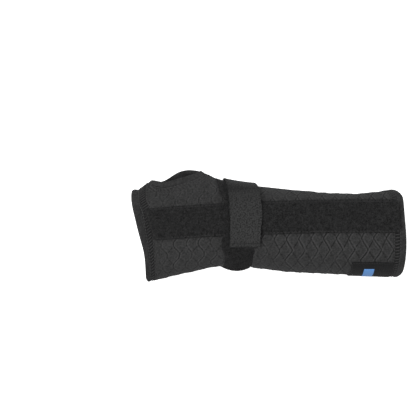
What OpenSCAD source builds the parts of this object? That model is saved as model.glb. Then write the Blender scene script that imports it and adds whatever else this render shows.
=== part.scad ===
// Pull-on wrist splint for the right hand, lying on its back with the palm side up.
// X runs from the fingers to the elbow, Y to the thumb side, Z up through the palm.
// Every cloth piece is a patch of one tube: a flat strip over the palm, a flat strip under
// the back of the hand, and a half ellipse on each side. A place on the tube is given by its
// distance along the arm, its turn round the tube and its height off the outer face.

/* [Sleeve] */
// Length of the sleeve along the arm
sleeve_l = 236; // [210:1:285]
// Depth of the hand end, palm to back
hand_depth = 37; // [33:1:44]
// Depth of the forearm end, palm side to back
forearm_depth = 62; // [54:1:76]
// Radius of the palm line in side view
palm_r = 800; // [650:10:1100]
// Height of the arch of the back above the line between its two hems
back_rise = 7; // [6:0.5:9]
// Thickness of the knitted wall
wall_t = 3; // [2.4:0.1:3.6]
// How far the hand hem leans, at the thumb side towards the fingers
hem_lean = 7; // [0:1:9]

/* [Reach to the thumb side, from the stay's middle line] */
// At the hand hem
radial_hand = 41; // [36:0.5:47]
// At the web of the thumb
radial_web = 48; // [42:0.5:54]
// At the ball of the thumb
radial_thenar = 61; // [54:0.5:66]
// At the wrist
radial_wrist = 45; // [39:0.5:50]
// Low on the forearm
radial_low = 37; // [32:0.5:42]
// High on the forearm
radial_high = 29; // [26:0.5:36]
// At the forearm hem
radial_cuff = 34; // [29:0.5:40]

/* [Reach to the little finger side, from the stay's middle line] */
// At the hand hem
ulnar_hand = 48.5; // [42:0.5:55]
// At the palm
ulnar_palm = 40.4; // [35:0.5:46]
// At the wrist
ulnar_wrist = 34.8; // [31:0.5:40]
// On the forearm
ulnar_forearm = 42; // [36:0.5:48]
// At the forearm hem
ulnar_cuff = 44.5; // [38:0.5:50]

/* [Hems] */
// Width of the folded hem at the hand and at the forearm
hem_w = 5; // [4:0.5:7]
// How far a hem stands off the knitted wall, inside and outside
hem_proud = 0.8; // [0.5:0.1:0.9]

/* [Thumb hole] */
// Length of the hole along the arm
thumb_l = 42; // [34:1:51]
// Height of the hole, in degrees of turn round the tube
thumb_turn = 52; // [40:1:56]
// Width of the web of cloth between the hand hem and the hem of the hole
web_w = 5.5; // [4:0.5:9]
// Width of the folded hem round the hole
thumb_hem_w = 4; // [3:0.5:5]

/* [Palm stay and its pocket] */
// Width of the aluminium stay
stay_w = 19; // [14:0.5:23]
// Thickness of the stay
stay_t = 1.6; // [1.2:0.1:2]
// Wall of the moulded tips at the stay's sides
tip_side = 1; // [0.8:0.1:1.2]
// Wall of the moulded tips above and below the stay
tip_face = 0.4; // [0.3:0.05:0.5]
// How much of the stay each tip covers
tip_grip = 9; // [6:0.5:14]
// Thickness of the tape between the stay and the sleeve
pocket_back_t = 0.7; // [0.5:0.1:1]
// Thickness of the looped strip over the stay
pocket_front_t = 1.2; // [1:0.1:1.6]
// Width of the sewn edge on each side of the pocket
pocket_flange = 3; // [2.5:0.5:4]
// Free room round the stay in its pocket
stay_room = 0.3; // [0.25:0.05:0.5]
// Distance from the pocket's closed end to the bare end of the stay
stay_end_room = 9; // [8:0.5:14]
// Distance from the bare end of the stay to the pocket's mouth
stay_mouth_room = 11.5; // [6:0.5:20]
// Distance from the hand hem's edge to the closed end of the pocket
pocket_from_hem = 11; // [9:0.5:14]

/* [Back stays] */
// Length of each back stay
back_stay_l = 150; // [110:1:150]
// Width of each back stay
back_stay_w = 7; // [5:0.5:8]
// Thickness of each back stay
back_stay_t = 1.2; // [0.8:0.1:1.4]
// Thickness of the channel tape over a back stay
channel_t = 0.8; // [0.6:0.1:1]

/* [Strap] */
// Width of the strap
strap_w = 28; // [24:1:36]
// Thickness of the strap
strap_t = 1; // [0.8:0.1:1.2]
// Thickness of the hook patch
hook_t = 0.6; // [0.5:0.1:0.8]
// Length of the hook patch
hook_l = 32; // [20:1:36]
// Distance from the middle of the sleeve to the strap, towards the fingers
strap_x = 34; // [26:0.5:38]
// How far the strap leans towards the elbow over the palm
strap_tilt = 3.5; // [0:0.5:7]
// How far the strap moves towards the elbow in one turn
strap_pitch = 8; // [0:0.5:9]

/* [Label] */
// Length of the label along the arm
label_l = 38; // [28:1:42]
// Width of the stripe on the label
stripe_w = 9; // [5:0.5:14]

/* [Hidden] */

// Clearances between neighbours
face_gap = 0.25;   // between sewn layers
edge_gap = 0.3;    // between a panel's edge and what is sewn to it
loose_gap = 0.35;  // round what can be peeled or pulled out

// Turns round the tube: the palm flat is 0 to 60, the little finger side 60 to 180,
// the back flat 180 to 240 and the thumb side 240 to 360
flat_turn = 60;
side_turn = 120;
side_slack = 0.4;     // extra room beside the stay's tips
flat_margin = 1.3;    // the palm is flat this far beyond the stay's room
lean_full_y = 38;     // distance from the middle line at which the hem leans fully
lean_fade = 20;       // distance from the hem over which the lean dies out
cavity_half = stay_w / 2 + tip_side + stay_room + side_slack;
flat_half = cavity_half + flat_margin;
half_l = sleeve_l / 2;

// Side view: the palm line is one arc, and so is the back line
palm_hand_z = hem_proud + hand_depth;
palm_cuff_z = hem_proud + forearm_depth;
palm_chord = norm([sleeve_l, palm_cuff_z - palm_hand_z]);
palm_drop = sqrt(palm_r * palm_r - palm_chord * palm_chord / 4);
palm_cx = palm_drop * (palm_cuff_z - palm_hand_z) / palm_chord;
palm_cz = (palm_hand_z + palm_cuff_z) / 2 - palm_drop * sleeve_l / palm_chord;
back_r = (half_l * half_l + back_rise * back_rise) / (2 * back_rise);

function palm_z(x) = palm_cz + sqrt(palm_r * palm_r - (x - palm_cx) * (x - palm_cx));
function back_z(x) = hem_proud + back_rise - back_r + sqrt(back_r * back_r - x * x);

// Plan view: smooth curves through the reaches, at shares of the sleeve's length
radial_line = [
    [0, radial_hand], [0.055, radial_web], [0.19, radial_thenar], [0.32, radial_wrist],
    [0.48, radial_low], [0.8, radial_high], [1, radial_cuff]
];
ulnar_line = [
    [0, ulnar_hand], [0.19, ulnar_palm], [0.32, ulnar_wrist], [0.64, ulnar_forearm],
    [1, ulnar_cuff]
];

function limit(v, lo, hi) = max(lo, min(hi, v));
function mix(a, b, k) = a + (b - a) * k;
function ramp(v, from, to) = let (k = limit((v - from) / (to - from), 0, 1)) k * k * (3 - 2 * k);
function span_at(line, s, i = 0) =
    (i == len(line) - 2 || s < line[i + 1][0]) ? i : span_at(line, s, i + 1);
function slope_at(line, i) =
    let (a = max(i - 1, 0), b = min(i + 1, len(line) - 1))
    (line[b][1] - line[a][1]) / (line[b][0] - line[a][0]);
function curve_at(line, s) =
    let (
        i = span_at(line, s),
        w = line[i + 1][0] - line[i][0],
        k = (s - line[i][0]) / w,
        k2 = k * k,
        k3 = k2 * k
    )
    (2 * k3 - 3 * k2 + 1) * line[i][1] + (k3 - 2 * k2 + k) * w * slope_at(line, i)
    + (3 * k2 - 2 * k3) * line[i + 1][1] + (k3 - k2) * w * slope_at(line, i + 1);
function reach(x, side) =
    curve_at(side > 0 ? radial_line : ulnar_line, limit(x / sleeve_l + 0.5, 0, 1));

// A point on a side of the tube, by its angle above the level of the sleeve's middle
function on_side(x, side, angle, off) =
    let (
        a = reach(x, side) - flat_half,
        b = (palm_z(x) - back_z(x)) / 2,
        n = [cos(angle) / a, sin(angle) / b],
        m = off / norm(n)
    )
    [x, side * (flat_half + a * cos(angle) + m * n[0]), back_z(x) + b + b * sin(angle) + m * n[1]];

// A point on the tube by its turn
function on_tube(x, turn, off) =
    let (t = turn - 360 * floor(turn / 360), back = flat_turn + side_turn)
    t < flat_turn ? [x, mix(flat_half, -flat_half, t / flat_turn), palm_z(x) + off]
    : t < back ? on_side(x, -1, 90 - 180 * (t - flat_turn) / side_turn, off)
    : t < back + flat_turn
        ? [x, mix(-flat_half, flat_half, (t - back) / flat_turn), back_z(x) - off]
    : on_side(x, 1, 180 * (t - back - flat_turn) / side_turn - 90, off);

// The same, with the lean of the hand hem, which fades out before the palm
function lean(turn) = -hem_lean * sin(90 * limit(on_tube(-half_l, turn, 0)[1] / lean_full_y, -1, 1));
function laid(x, turn, off) =
    on_tube(x + lean(turn) * max(0, 1 - (x + half_l) / lean_fade), turn, off);

// A point over the palm by its distance from the stay's middle line
function on_palm(x, y, off) =
    abs(y) <= flat_half ? [x, y, palm_z(x) + off]
    : on_side(x, sign(y), acos((abs(y) - flat_half) / (reach(x, sign(y)) - flat_half)), off);

// Turns of the seams, and the thumb hole as a rounded oval about the thumb-side seam
seam_u = 150;
seam_r = 305;
seam_w = 6;
seam_t = 0.6;
hole_x = -half_l + hem_w + web_w + thumb_hem_w + thumb_l / 2;
hole_a = thumb_l / 2;
hole_b = thumb_turn / 2;
hem_turn = 7;
oval = 0.8;
hole_steps = 10;
function power(v) = sign(v) * pow(abs(v), oval);
function hole_at(angle, grow) =
    [hole_x + (hole_a + grow * thumb_hem_w) * power(cos(angle)),
     seam_r + (hole_b + grow * hem_turn) * power(sin(angle))];
notch = 1 + edge_gap / thumb_hem_w;

// Stations along the sleeve: [x, half height of the notch for the thumb hem]
body_from = -half_l + hem_w + edge_gap;
body_to = half_l - hem_w - edge_gap;
web_at = hole_at(180, notch)[0];
palm_at = hole_at(0, notch)[0];
arm_steps = 18;
stations = concat(
    [[body_from, 0], [mix(body_from, web_at, 0.5), 0]],
    [for (i = [0 : hole_steps])
        let (h = hole_at(180 - 180 * i / hole_steps, notch)) [h[0], h[1] - seam_r]],
    [for (i = [1 : arm_steps]) [mix(palm_at, body_to, i / arm_steps), 0]]
);
sides = [for (i = [0 : 9]) i / 10];
ring_turns = concat(
    [0, 20, 40], [for (k = sides) flat_turn + side_turn * k],
    [180, 200, 220], [for (k = sides) 240 + side_turn * k]
);

// Heights off the sleeve's face, in the order that the layers lie over the palm
stay_low = pocket_back_t + face_gap + stay_room;
bar_low = stay_low + tip_face;
pocket_in = bar_low + stay_t + tip_face + stay_room;
pocket_top = pocket_in + pocket_front_t;
pocket_half = cavity_half + pocket_front_t + pocket_flange;

// Palm pocket and stay along the arm
pocket_to_hem = 1;
pocket_from = -half_l + pocket_from_hem;
pocket_to = body_to - pocket_to_hem;
stay_l = pocket_to - pocket_from - stay_end_room - stay_mouth_room;
stay_mid = pocket_from + stay_end_room + stay_l / 2;

// Back channels
channel_turns = [249, 171];
channel_in = face_gap + back_stay_t + 2 * face_gap;
channel_top = channel_in + channel_t;
channel_mid = 2;
back_tip_l = 6;

// Strap: the turn at its sewn root, its peel line, its end and the ramps between layers
root_turn = -47;
peel_turn = 307;
end_turn = 435;
layer = strap_t + face_gap;
band_low = loose_gap;
tab_low = band_low + strap_t + loose_gap;
bridge_run = 13.5;                 // the strap comes down beside the pocket over this width
back_climb = [130, 147, 268, 285]; // turns where it climbs onto the channels and leaves them
band_climb = [283, 303];           // turns where it climbs onto its own sewn root
peel_gap = 2.5;                    // turns between the band and the end that peels off it
tab_climb = [8, 38];               // turns past the peel line where the hook patch lifts it
hook_near = 20;                    // turns back from the strap's end to mid hook patch
hook_inset = 1.5;                  // the hook patch is this much narrower on each side
hook_back = 1;                     // turns that it stops short of the strap's end
hook_gap = 0.1;                    // between the hook patch and the strap over it
fold_gap = 0.5;                    // turns between the strap's end and its folded tip
fold_turns = 4.5;                  // turns that the folded tip covers
fold_puff = 0.3;                   // how much the fold stands up
bridge_out = flat_half + bridge_run;
anchor_l = 24;
anchor_w = 24;
anchor_t = 0.7;

// How high the strap is carried over the pocket and over the back channels
function over_pocket(x, turn) =
    let (p = on_tube(x, turn, 0), low = pocket_half - pocket_flange)
    p[2] < (palm_z(x) + back_z(x)) / 2 ? 0
    : pocket_top * limit((bridge_out - abs(p[1])) / (bridge_out - low), 0, 1);
function over_back(turn) =
    let (t = turn - 360 * floor(turn / 360)) channel_top
    * min(ramp(t, back_climb[0], back_climb[1]), ramp(t, back_climb[3], back_climb[2]));
function strap_mid(turn) =
    let (p = on_tube(-strap_x, turn, 0), lo = back_z(-strap_x), hi = palm_z(-strap_x))
    -strap_x + strap_tilt * (2 * p[2] - lo - hi) / (hi - lo)
    + strap_pitch * (turn - root_turn) / 360;
function on_strap(turn, w, off) =
    let (x = strap_mid(turn) + w)
    on_tube(x, turn, off + over_pocket(x, turn) + over_back(turn));
function tab_rise(turn) =
    tab_low + (hook_t + face_gap / 2) * ramp(turn - peel_turn, tab_climb[0], tab_climb[1]);

// Label
label_from_hem = 4;
label_mid = half_l - hem_w - label_from_hem - label_l / 2;
label_turns = [96, 135];
label_t = 0.8;
stripe_t = 0.3;
stripe_gap = 0.1;
stripe_inset = 9;
stripe_shift = 3;

// ---- solids from points ----

// A closed slab between two sheets of points with the same rows and columns
module slab(top, low) {
    n = len(top);
    m = len(top[0]);
    function id(i, j) = i * m + j;
    function quad(a, b, c, d) = [[a, b, c], [a, c, d]];
    half = n * m;
    faces = concat(
        [for (i = [0 : n - 2], j = [0 : m - 2], q = quad(id(i, j), id(i, j + 1), id(i + 1, j + 1),
            id(i + 1, j))) q],
        [for (i = [0 : n - 2], j = [0 : m - 2], q = quad(half + id(i, j), half + id(i + 1, j),
            half + id(i + 1, j + 1), half + id(i, j + 1))) q],
        [for (i = [0 : n - 2], q = quad(id(i, 0), id(i + 1, 0), half + id(i + 1, 0),
            half + id(i, 0))) q],
        [for (i = [0 : n - 2], q = quad(id(i, m - 1), half + id(i, m - 1),
            half + id(i + 1, m - 1), id(i + 1, m - 1))) q],
        [for (j = [0 : m - 2], q = quad(id(0, j), half + id(0, j), half + id(0, j + 1),
            id(0, j + 1))) q],
        [for (j = [0 : m - 2], q = quad(id(n - 1, j), id(n - 1, j + 1), half + id(n - 1, j + 1),
            half + id(n - 1, j))) q]
    );
    polyhedron(concat([for (r = top, p = r) p], [for (r = low, p = r) p]), faces);
}

// A closed ring through cross-sections that each have the same number of points
module ring(sections) {
    n = len(sections);
    m = len(sections[0]);
    function id(i, j) = (i % n) * m + j % m;
    polyhedron(
        [for (s = sections, p = s) p],
        [for (i = [0 : n - 1], j = [0 : m - 1],
            q = [[id(i, j), id(i, j + 1), id(i + 1, j + 1)],
                 [id(i, j), id(i + 1, j + 1), id(i + 1, j)]]) q]
    );
}

// Cross-section of a hem: distance in from the edge as a share, and height off the face
hem_round = 1.2;
hem_corner = 0.35 * hem_round;
hem_low = -wall_t - hem_proud;
function hem_profile(w) = [
    [1, hem_proud], [hem_round / w, hem_proud], [hem_corner / w, hem_proud - hem_corner],
    [0, hem_proud - hem_round], [0, hem_low + hem_round], [hem_corner / w, hem_low + hem_corner],
    [hem_round / w, hem_low], [1, hem_low]
];
function hem_ring(edge, dir) =
    [for (t = ring_turns) [for (q = hem_profile(hem_w)) laid(edge + dir * hem_w * q[0], t, q[1])]];
function thumb_ring() =
    [for (i = [0 : 2 * hole_steps - 1])
        [for (q = hem_profile(thumb_hem_w))
            let (h = hole_at(180 * i / hole_steps, q[0])) laid(h[0], h[1], q[1])]];

// The whole part stands with its box centred on the origin and its hems on the ground
box_points = concat(
    [for (s = hem_ring(-half_l, 1), p = s) p], [for (s = hem_ring(half_l, -1), p = s) p],
    [for (s = thumb_ring(), p = s) p], [for (s = stations) laid(s[0], seam_r - s[1], 0)]
);
home = [
    -(min([for (p = box_points) p[0]]) + max([for (p = box_points) p[0]])) / 2,
    -(min([for (p = box_points) p[1]]) + max([for (p = box_points) p[1]])) / 2,
    -min([for (p = box_points) p[2]])
];

// ---- sleeve ----

module panel(turns) {
    slab([for (i = [0 : len(stations) - 1]) [for (t = turns[i]) laid(stations[i][0], t, 0)]],
         [for (i = [0 : len(stations) - 1]) [for (t = turns[i]) laid(stations[i][0], t, -wall_t)]]);
}

seam_half_gap = 0.4;

module palmar_panel() {
    turns = [for (s = stations)
        let (edge = seam_r - 360 + seam_half_gap + s[1])
        concat([for (i = [0 : 4]) mix(edge, 0, i / 5)], [0, 20, 40],
               [for (i = [0 : 6]) mix(60, seam_u - seam_half_gap, i / 6)])];
    color("#2f2f31") translate(home) panel(turns);
}

module dorsal_panel() {
    turns = [for (s = stations)
        let (edge = seam_r - seam_half_gap - s[1])
        concat([for (i = [0 : 1]) mix(seam_u + seam_half_gap, 180, i / 2)], [180, 200, 220],
               [for (i = [0 : 4]) mix(240, edge, i / 4)])];
    color("#2f2f31") translate(home) panel(turns);
}

// Length of one degree of turn, so that a narrow strip keeps its width along the sleeve
function turn_length(x, turn) = norm(on_tube(x, turn + 1, 0) - on_tube(x, turn - 1, 0)) / 2;

function even(from, to, steps) = [for (i = [0 : steps]) mix(from, to, i / steps)];

// The stations of a neighbour that lie between two places, with those places as ends, so that
// two layers on a curve have their facets in step
function between(places, from, to) =
    let (near = 0.1) concat([from], [for (p = places) if (p > from + near && p < to - near) p], [to]);

// A flat strip of even width laid along one turn of the tube, through the places xs
module strip(xs, turn, w, low, high) {
    function row(x, off) =
        let (half = w / 2 / turn_length(x, turn))
        [for (k = [-1 : 1 : 1]) laid(x, turn + k * half, off)];
    translate(home) slab([for (x = xs) row(x, high)], [for (x = xs) row(x, low)]);
}

// A seam tape has the panels' own stations, so that it lies on their faces evenly
module seam_tape(turn, first, last) {
    xs = [for (i = [first : last]) stations[i][0]];
    color("#262628") strip(xs, turn, seam_w, face_gap, face_gap + seam_t);
}

last_station = len(stations) - 1;
first_arm_station = last_station - arm_steps + 1;

module ulnar_seam() {
    seam_tape(seam_u, 0, last_station);
}

module radial_seam_hand() {
    seam_tape(seam_r, 0, 1);
}

module radial_seam_forearm() {
    seam_tape(seam_r, first_arm_station, last_station);
}

module hand_hem() {
    color("#252527") translate(home) ring(hem_ring(-half_l, 1));
}

// The forearm hem is turned the other way round, so its sections are taken in reverse
module forearm_hem() {
    s = hem_ring(half_l, -1);
    color("#252527") translate(home) ring([for (i = [len(s) - 1 : -1 : 0]) s[i]]);
}

module thumb_hem() {
    color("#252527") translate(home) ring(thumb_ring());
}

// ---- palm pocket and stay ----

pocket_slant = 0.2;      // lean of the closed end, against the width of the strip
slant_fade = 30;         // distance over which that lean dies out
pocket_shut = [4.5, 6];  // from the closed end: sewn flat as far as here, fully open from here
pocket_steps = 20;
pocket_x = concat([pocket_from, pocket_from + pocket_shut[0]],
                  even(pocket_from + pocket_shut[1], pocket_to, pocket_steps));
function slanted(x, y) = x - pocket_slant * y * limit(1 - (x - pocket_from) / slant_fade, 0, 1);

wall_lean = 0.7;       // the pocket's side walls lean in by the rest of their thickness
pocket_edge_t = 0.75;  // thickness of its sewn edges

module palm_pocket_front() {
    wall_y = cavity_half + wall_lean * pocket_front_t;
    foot_y = cavity_half + pocket_front_t;
    thin = face_gap + pocket_edge_t;
    // Each row: [y, height] across the strip, for the outer face and for the inner face
    function outer(k) = [
        [-pocket_half, thin], [-foot_y, thin], [-wall_y, mix(thin, pocket_top, k)],
        [0, mix(thin, pocket_top, k)],
        [wall_y, mix(thin, pocket_top, k)], [foot_y, thin], [pocket_half, thin]
    ];
    closed = 2 * face_gap + pocket_back_t;
    function inner(k) = [
        [-pocket_half, face_gap], [-cavity_half - 0.1, face_gap],
        [-cavity_half, mix(face_gap, pocket_in, k)],
        [0, mix(closed, pocket_in, k)],
        [cavity_half, mix(face_gap, pocket_in, k)], [cavity_half + 0.1, face_gap],
        [pocket_half, face_gap]
    ];
    grown = [for (i = [0 : len(pocket_x) - 1]) i == 0 ? [0.35, 0] : i == 1 ? [1, 0] : [1, 1]];
    color("#1b1b1c") translate(home) slab(
        [for (i = [0 : len(pocket_x) - 1])
            [for (q = outer(grown[i][0])) on_palm(slanted(pocket_x[i], q[0]), q[0], q[1])]],
        [for (i = [0 : len(pocket_x) - 1])
            [for (q = inner(grown[i][1])) on_palm(slanted(pocket_x[i], q[0]), q[0], q[1])]]
    );
}

// A band that follows the palm line between two heights off the sleeve
module palm_arc(low, high, w) {
    sweep = 60;
    translate([palm_cx, w / 2, palm_cz]) rotate([90, 0, 0])
        rotate_extrude(angle = sweep, start = 90 - sweep / 2, $fn = 720)
            translate([palm_r + low, 0]) square([high - low, w]);
}

module stay_outline(l, w) {
    linear_extrude(height = 2 * palm_cuff_z) {
        square([l - w, w], center = true);
        for (s = [-1, 1])
            translate([s * (l - w) / 2, 0]) circle(d = w, $fn = 64);
    }
}

module stay_bar() {
    intersection() {
        palm_arc(bar_low, bar_low + stay_t, 2 * stay_w);
        translate([stay_mid, 0, 0]) stay_outline(stay_l, stay_w);
    }
}

module palm_stay() {
    color("#b9bcc0") translate(home) stay_bar();
}

// A moulded tip over one end of the stay: dir is -1 at the hand and 1 at the forearm
module stay_tip(dir) {
    reach_x = stay_l / 2 + tip_side;
    color("#19191a") translate(home) difference() {
        intersection() {
            palm_arc(stay_low, bar_low + stay_t + tip_face, 2 * stay_w);
            translate([stay_mid, 0, 0])
                stay_outline(stay_l + 2 * tip_side, stay_w + 2 * tip_side);
            translate([stay_mid + dir * (reach_x - (tip_grip + tip_side) / 2), 0, palm_cuff_z])
                cube([tip_grip + tip_side, 2 * stay_w, 2 * palm_cuff_z], center = true);
        }
        stay_bar();
    }
}

module palm_stay_tip_hand() {
    stay_tip(-1);
}

module palm_stay_tip_forearm() {
    stay_tip(1);
}

module palm_pocket_back() {
    half = stay_w / 2 + tip_side;
    xs = even(pocket_from + stay_end_room, pocket_to, pocket_steps);
    function sheet(off) = [for (x = xs) [for (k = [-1 : 1 : 1]) on_palm(x, k * half, off)]];
    color("#242425") translate(home) slab(sheet(face_gap + pocket_back_t), sheet(face_gap));
}

// ---- back channels and stays ----

channel_steps = 30;
channel_wall = 1;
channel_flange = 2;
channel_edge_t = 0.6;
channel_room = 2;     // free room past each end of a back stay
channel_shut = 4;     // sewn flat at each end over this length
stay_half = back_stay_w / 2;
channel_from = channel_mid - back_stay_l / 2 - channel_room;
channel_to = channel_mid + back_stay_l / 2 + channel_room;
channel_x = even(channel_from, channel_to, channel_steps);

// A tape sewn down along both edges and at both ends, with the stay's room under it
module back_channel(turn) {
    in_w = stay_half + face_gap;
    out_w = in_w + channel_wall;
    edge_w = out_w + channel_flange;
    thin = face_gap + channel_edge_t;
    top_shape = [[-edge_w, thin], [-out_w, thin], [-in_w, channel_top], [0, channel_top],
                 [in_w, channel_top], [out_w, thin], [edge_w, thin]];
    low_shape = [[-edge_w, face_gap], [-in_w - 0.1, face_gap], [-in_w, channel_in],
                 [0, channel_in], [in_w, channel_in], [in_w + 0.1, face_gap],
                 [edge_w, face_gap]];
    function row(x, shape, k) = [for (q = shape)
        laid(x, turn + q[0] / turn_length(x, turn), mix(min(q[1], thin), q[1], k))];
    function low_row(x, k) = [for (q = low_shape)
        laid(x, turn + q[0] / turn_length(x, turn), mix(face_gap, q[1], k))];
    xs = concat([channel_from - channel_shut, channel_from - channel_wall], channel_x,
                [channel_to + channel_wall, channel_to + channel_shut]);
    last = len(xs) - 1;
    color("#202021") translate(home) slab(
        [for (i = [0 : last]) row(xs[i], top_shape, (i == 0 || i == last) ? 0 : 1)],
        [for (i = [0 : last]) low_row(xs[i], (i < 2 || i > last - 2) ? 0 : 1)]
    );
}

module back_channel_radial() {
    back_channel(channel_turns[0]);
}

module back_channel_ulnar() {
    back_channel(channel_turns[1]);
}

stay_floor = 2 * face_gap;
bare_half = back_stay_l / 2 - back_tip_l;
tip_grow = 0.1;  // the crimped tips stand this much outside the stay, and this far from it

module back_stay(turn) {
    color("#a9acb0") strip(between(channel_x, channel_mid - bare_half, channel_mid + bare_half),
        turn, back_stay_w - 6 * tip_grow, stay_floor, stay_floor + back_stay_t - 2 * tip_grow);
}

module back_stay_radial() {
    back_stay(channel_turns[0]);
}

module back_stay_ulnar() {
    back_stay(channel_turns[1]);
}

// The four crimped caps on the ends of the two back stays
module back_stay_tips() {
    color("#8d9196")
        for (turn = channel_turns, end = [-back_stay_l / 2, bare_half + tip_grow])
            strip(between(channel_x, channel_mid + end, channel_mid + end + back_tip_l - tip_grow),
                turn, back_stay_w, stay_floor - tip_grow, stay_floor + back_stay_t - tip_grow);
}

// ---- strap ----

// A length of strap through the turns, with the height of its low face at each of them
module webbing(turns, lows, w, t) {
    function row(i, off) = [for (k = [-1 : 0.5 : 1]) on_strap(turns[i], k * w / 2, lows[i] + off)];
    ids = [0 : len(turns) - 1];
    translate(home) slab([for (i = ids) row(i, t)], [for (i = ids) row(i, 0)]);
}

band_steps = 52;
band_turns = even(root_turn, peel_turn, band_steps);
turns_over = [for (t = band_turns) t + 360];
patch_steps = 4;

// The strap from its sewn root over the palm and round the back to the peel line
module strap_band() {
    lows = [for (t = band_turns) mix(band_low, tab_low, ramp(t, band_climb[0], band_climb[1]))];
    color("#1a1a1b") webbing(band_turns, lows, strap_w, strap_t);
}

// A patch that box-stitches the strap to the back of the sleeve
module strap_anchor() {
    mid = 2 * flat_turn + side_turn - flat_turn / 2;
    half = anchor_l / 2 / turn_length(-strap_x, mid);
    turns = even(mid - half, mid + half, patch_steps);
    color("#232324") webbing(turns, [for (t = turns) band_low + layer], anchor_w, anchor_t);
}

tab_from = peel_turn + peel_gap;
hook_from = end_turn - hook_l / turn_length(-strap_x, end_turn - hook_near);

module strap_free_end() {
    turns = between(turns_over, tab_from, end_turn);
    color("#39393b") webbing(turns, [for (t = turns) tab_rise(t)], strap_w, strap_t);
}

module strap_hook_patch() {
    turns = between(turns_over, hook_from, end_turn - hook_back);
    color("#151516")
        webbing(turns, [for (t = turns) tab_low], strap_w - 2 * hook_inset, hook_t - hook_gap);
}

// The end of the strap, folded over and sewn down
module strap_end_tip() {
    turns = even(end_turn + fold_gap, end_turn + fold_gap + fold_turns, patch_steps / 2);
    color("#39393b")
        webbing(turns, [for (t = turns) tab_low], strap_w, hook_t + strap_t + fold_puff);
}

// ---- label ----

module on_label(from, to, turns, low, high, steps) {
    function row(i, off) =
        let (x = mix(from, to, i / steps))
        [for (k = [0 : 6]) on_tube(x, mix(turns[0], turns[1], k / 6), off)];
    translate(home) slab([for (i = [0 : steps]) row(i, high)], [for (i = [0 : steps]) row(i, low)]);
}

module label_patch() {
    color("#171718") on_label(label_mid - label_l / 2, label_mid + label_l / 2, label_turns,
        face_gap, face_gap + label_t, 4);
}

// A plain straight stripe across the label, a little nearer to the fingers
module label_stripe() {
    mid = label_mid - stripe_shift;
    low = face_gap + label_t + stripe_gap;
    color("#5a8fd0") on_label(mid - stripe_w / 2, mid + stripe_w / 2,
        [label_turns[0] + stripe_inset, label_turns[1] - stripe_inset], low, low + stripe_t, 2);
}

palmar_panel();
dorsal_panel();
ulnar_seam();
radial_seam_hand();
radial_seam_forearm();
hand_hem();
forearm_hem();
thumb_hem();
palm_pocket_back();
palm_pocket_front();
palm_stay();
palm_stay_tip_hand();
palm_stay_tip_forearm();
back_channel_radial();
back_channel_ulnar();
back_stay_radial();
back_stay_ulnar();
back_stay_tips();
strap_band();
strap_anchor();
strap_free_end();
strap_hook_patch();
strap_end_tip();
label_patch();
label_stripe();
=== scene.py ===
# %% [markdown]
# # A pull-on wrist splint
# The splint is a tube of embossed black knit that is pulled over the hand. A flat bar of aluminium
# in a pocket over the palm keeps the wrist straight, two slim springs lie along the back, and a
# strap goes once round the wrist and closes on itself.
#
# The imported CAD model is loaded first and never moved. Everything below is dressed round it.

import math

import bmesh
import bpy
import numpy as np
from mathutils import Matrix, Vector


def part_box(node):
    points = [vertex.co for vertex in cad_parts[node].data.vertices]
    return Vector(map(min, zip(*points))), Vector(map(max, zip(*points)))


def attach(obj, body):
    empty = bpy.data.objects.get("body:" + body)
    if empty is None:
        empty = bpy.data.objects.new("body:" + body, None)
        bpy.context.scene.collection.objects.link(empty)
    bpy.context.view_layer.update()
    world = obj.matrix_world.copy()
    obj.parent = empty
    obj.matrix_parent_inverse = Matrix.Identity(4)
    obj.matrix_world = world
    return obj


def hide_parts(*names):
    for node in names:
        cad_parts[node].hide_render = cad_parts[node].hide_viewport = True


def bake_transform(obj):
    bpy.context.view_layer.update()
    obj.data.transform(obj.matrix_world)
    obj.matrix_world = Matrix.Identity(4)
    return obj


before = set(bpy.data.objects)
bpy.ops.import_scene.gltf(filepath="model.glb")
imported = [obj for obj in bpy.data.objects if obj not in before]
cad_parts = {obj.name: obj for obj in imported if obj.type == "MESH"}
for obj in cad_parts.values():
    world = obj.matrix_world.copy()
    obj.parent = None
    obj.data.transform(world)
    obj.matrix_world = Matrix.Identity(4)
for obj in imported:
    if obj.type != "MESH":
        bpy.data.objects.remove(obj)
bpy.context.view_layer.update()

# %% [markdown]
# ## The camera, the floor and the light
# The camera comes first, because it decides how much detail a piece needs. It looks down on the
# palm from above, tipped a little towards the little finger, through a long lens, the way that a
# catalogue shows a splint. Light comes from a big soft panel beside the camera, a weaker one on
# the other side and a pale surround. The floor glows a little itself, like a lit white card, so
# that no shadow shows on it, and it throws no light back, so black cloth keeps its detail.

# %% Camera above the palm
tilt, distance = math.radians(20), 0.78
aim = Vector((-0.0505, 0.0108, 0.0430))
camera_data = bpy.data.cameras.new("camera")
camera_data.lens = 75
camera = bpy.data.objects.new("camera", camera_data)
bpy.context.collection.objects.link(camera)
camera.location = aim + distance * Vector((0, -math.sin(tilt), math.cos(tilt)))
camera.rotation_euler = (tilt, 0, 0)
bpy.context.scene.camera = camera
print("camera at", [round(v, 3) for v in camera.location])

# %% Pale floor
bm = bmesh.new()
bmesh.ops.create_grid(bm, x_segments=1, y_segments=1, size=2.0)
floor_mesh = bpy.data.meshes.new("floor")
bm.to_mesh(floor_mesh)
bm.free()
floor = bpy.data.objects.new("floor", floor_mesh)
bpy.context.collection.objects.link(floor)
floor_white = bpy.data.materials.new("floor_white")
floor_white.use_nodes = True
sockets = floor_white.node_tree.nodes["Principled BSDF"].inputs
for socket, value in (("Base Color", (0.93, 0.93, 0.93, 1)), ("Roughness", 0.9),
                      ("Emission Color", (1, 1, 1, 1)), ("Emission Strength", 0.65)):
    sockets[socket].default_value = value
floor_mesh.materials.append(floor_white)
floor.visible_diffuse = False
floor.visible_glossy = False
floor.visible_shadow = False

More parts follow.
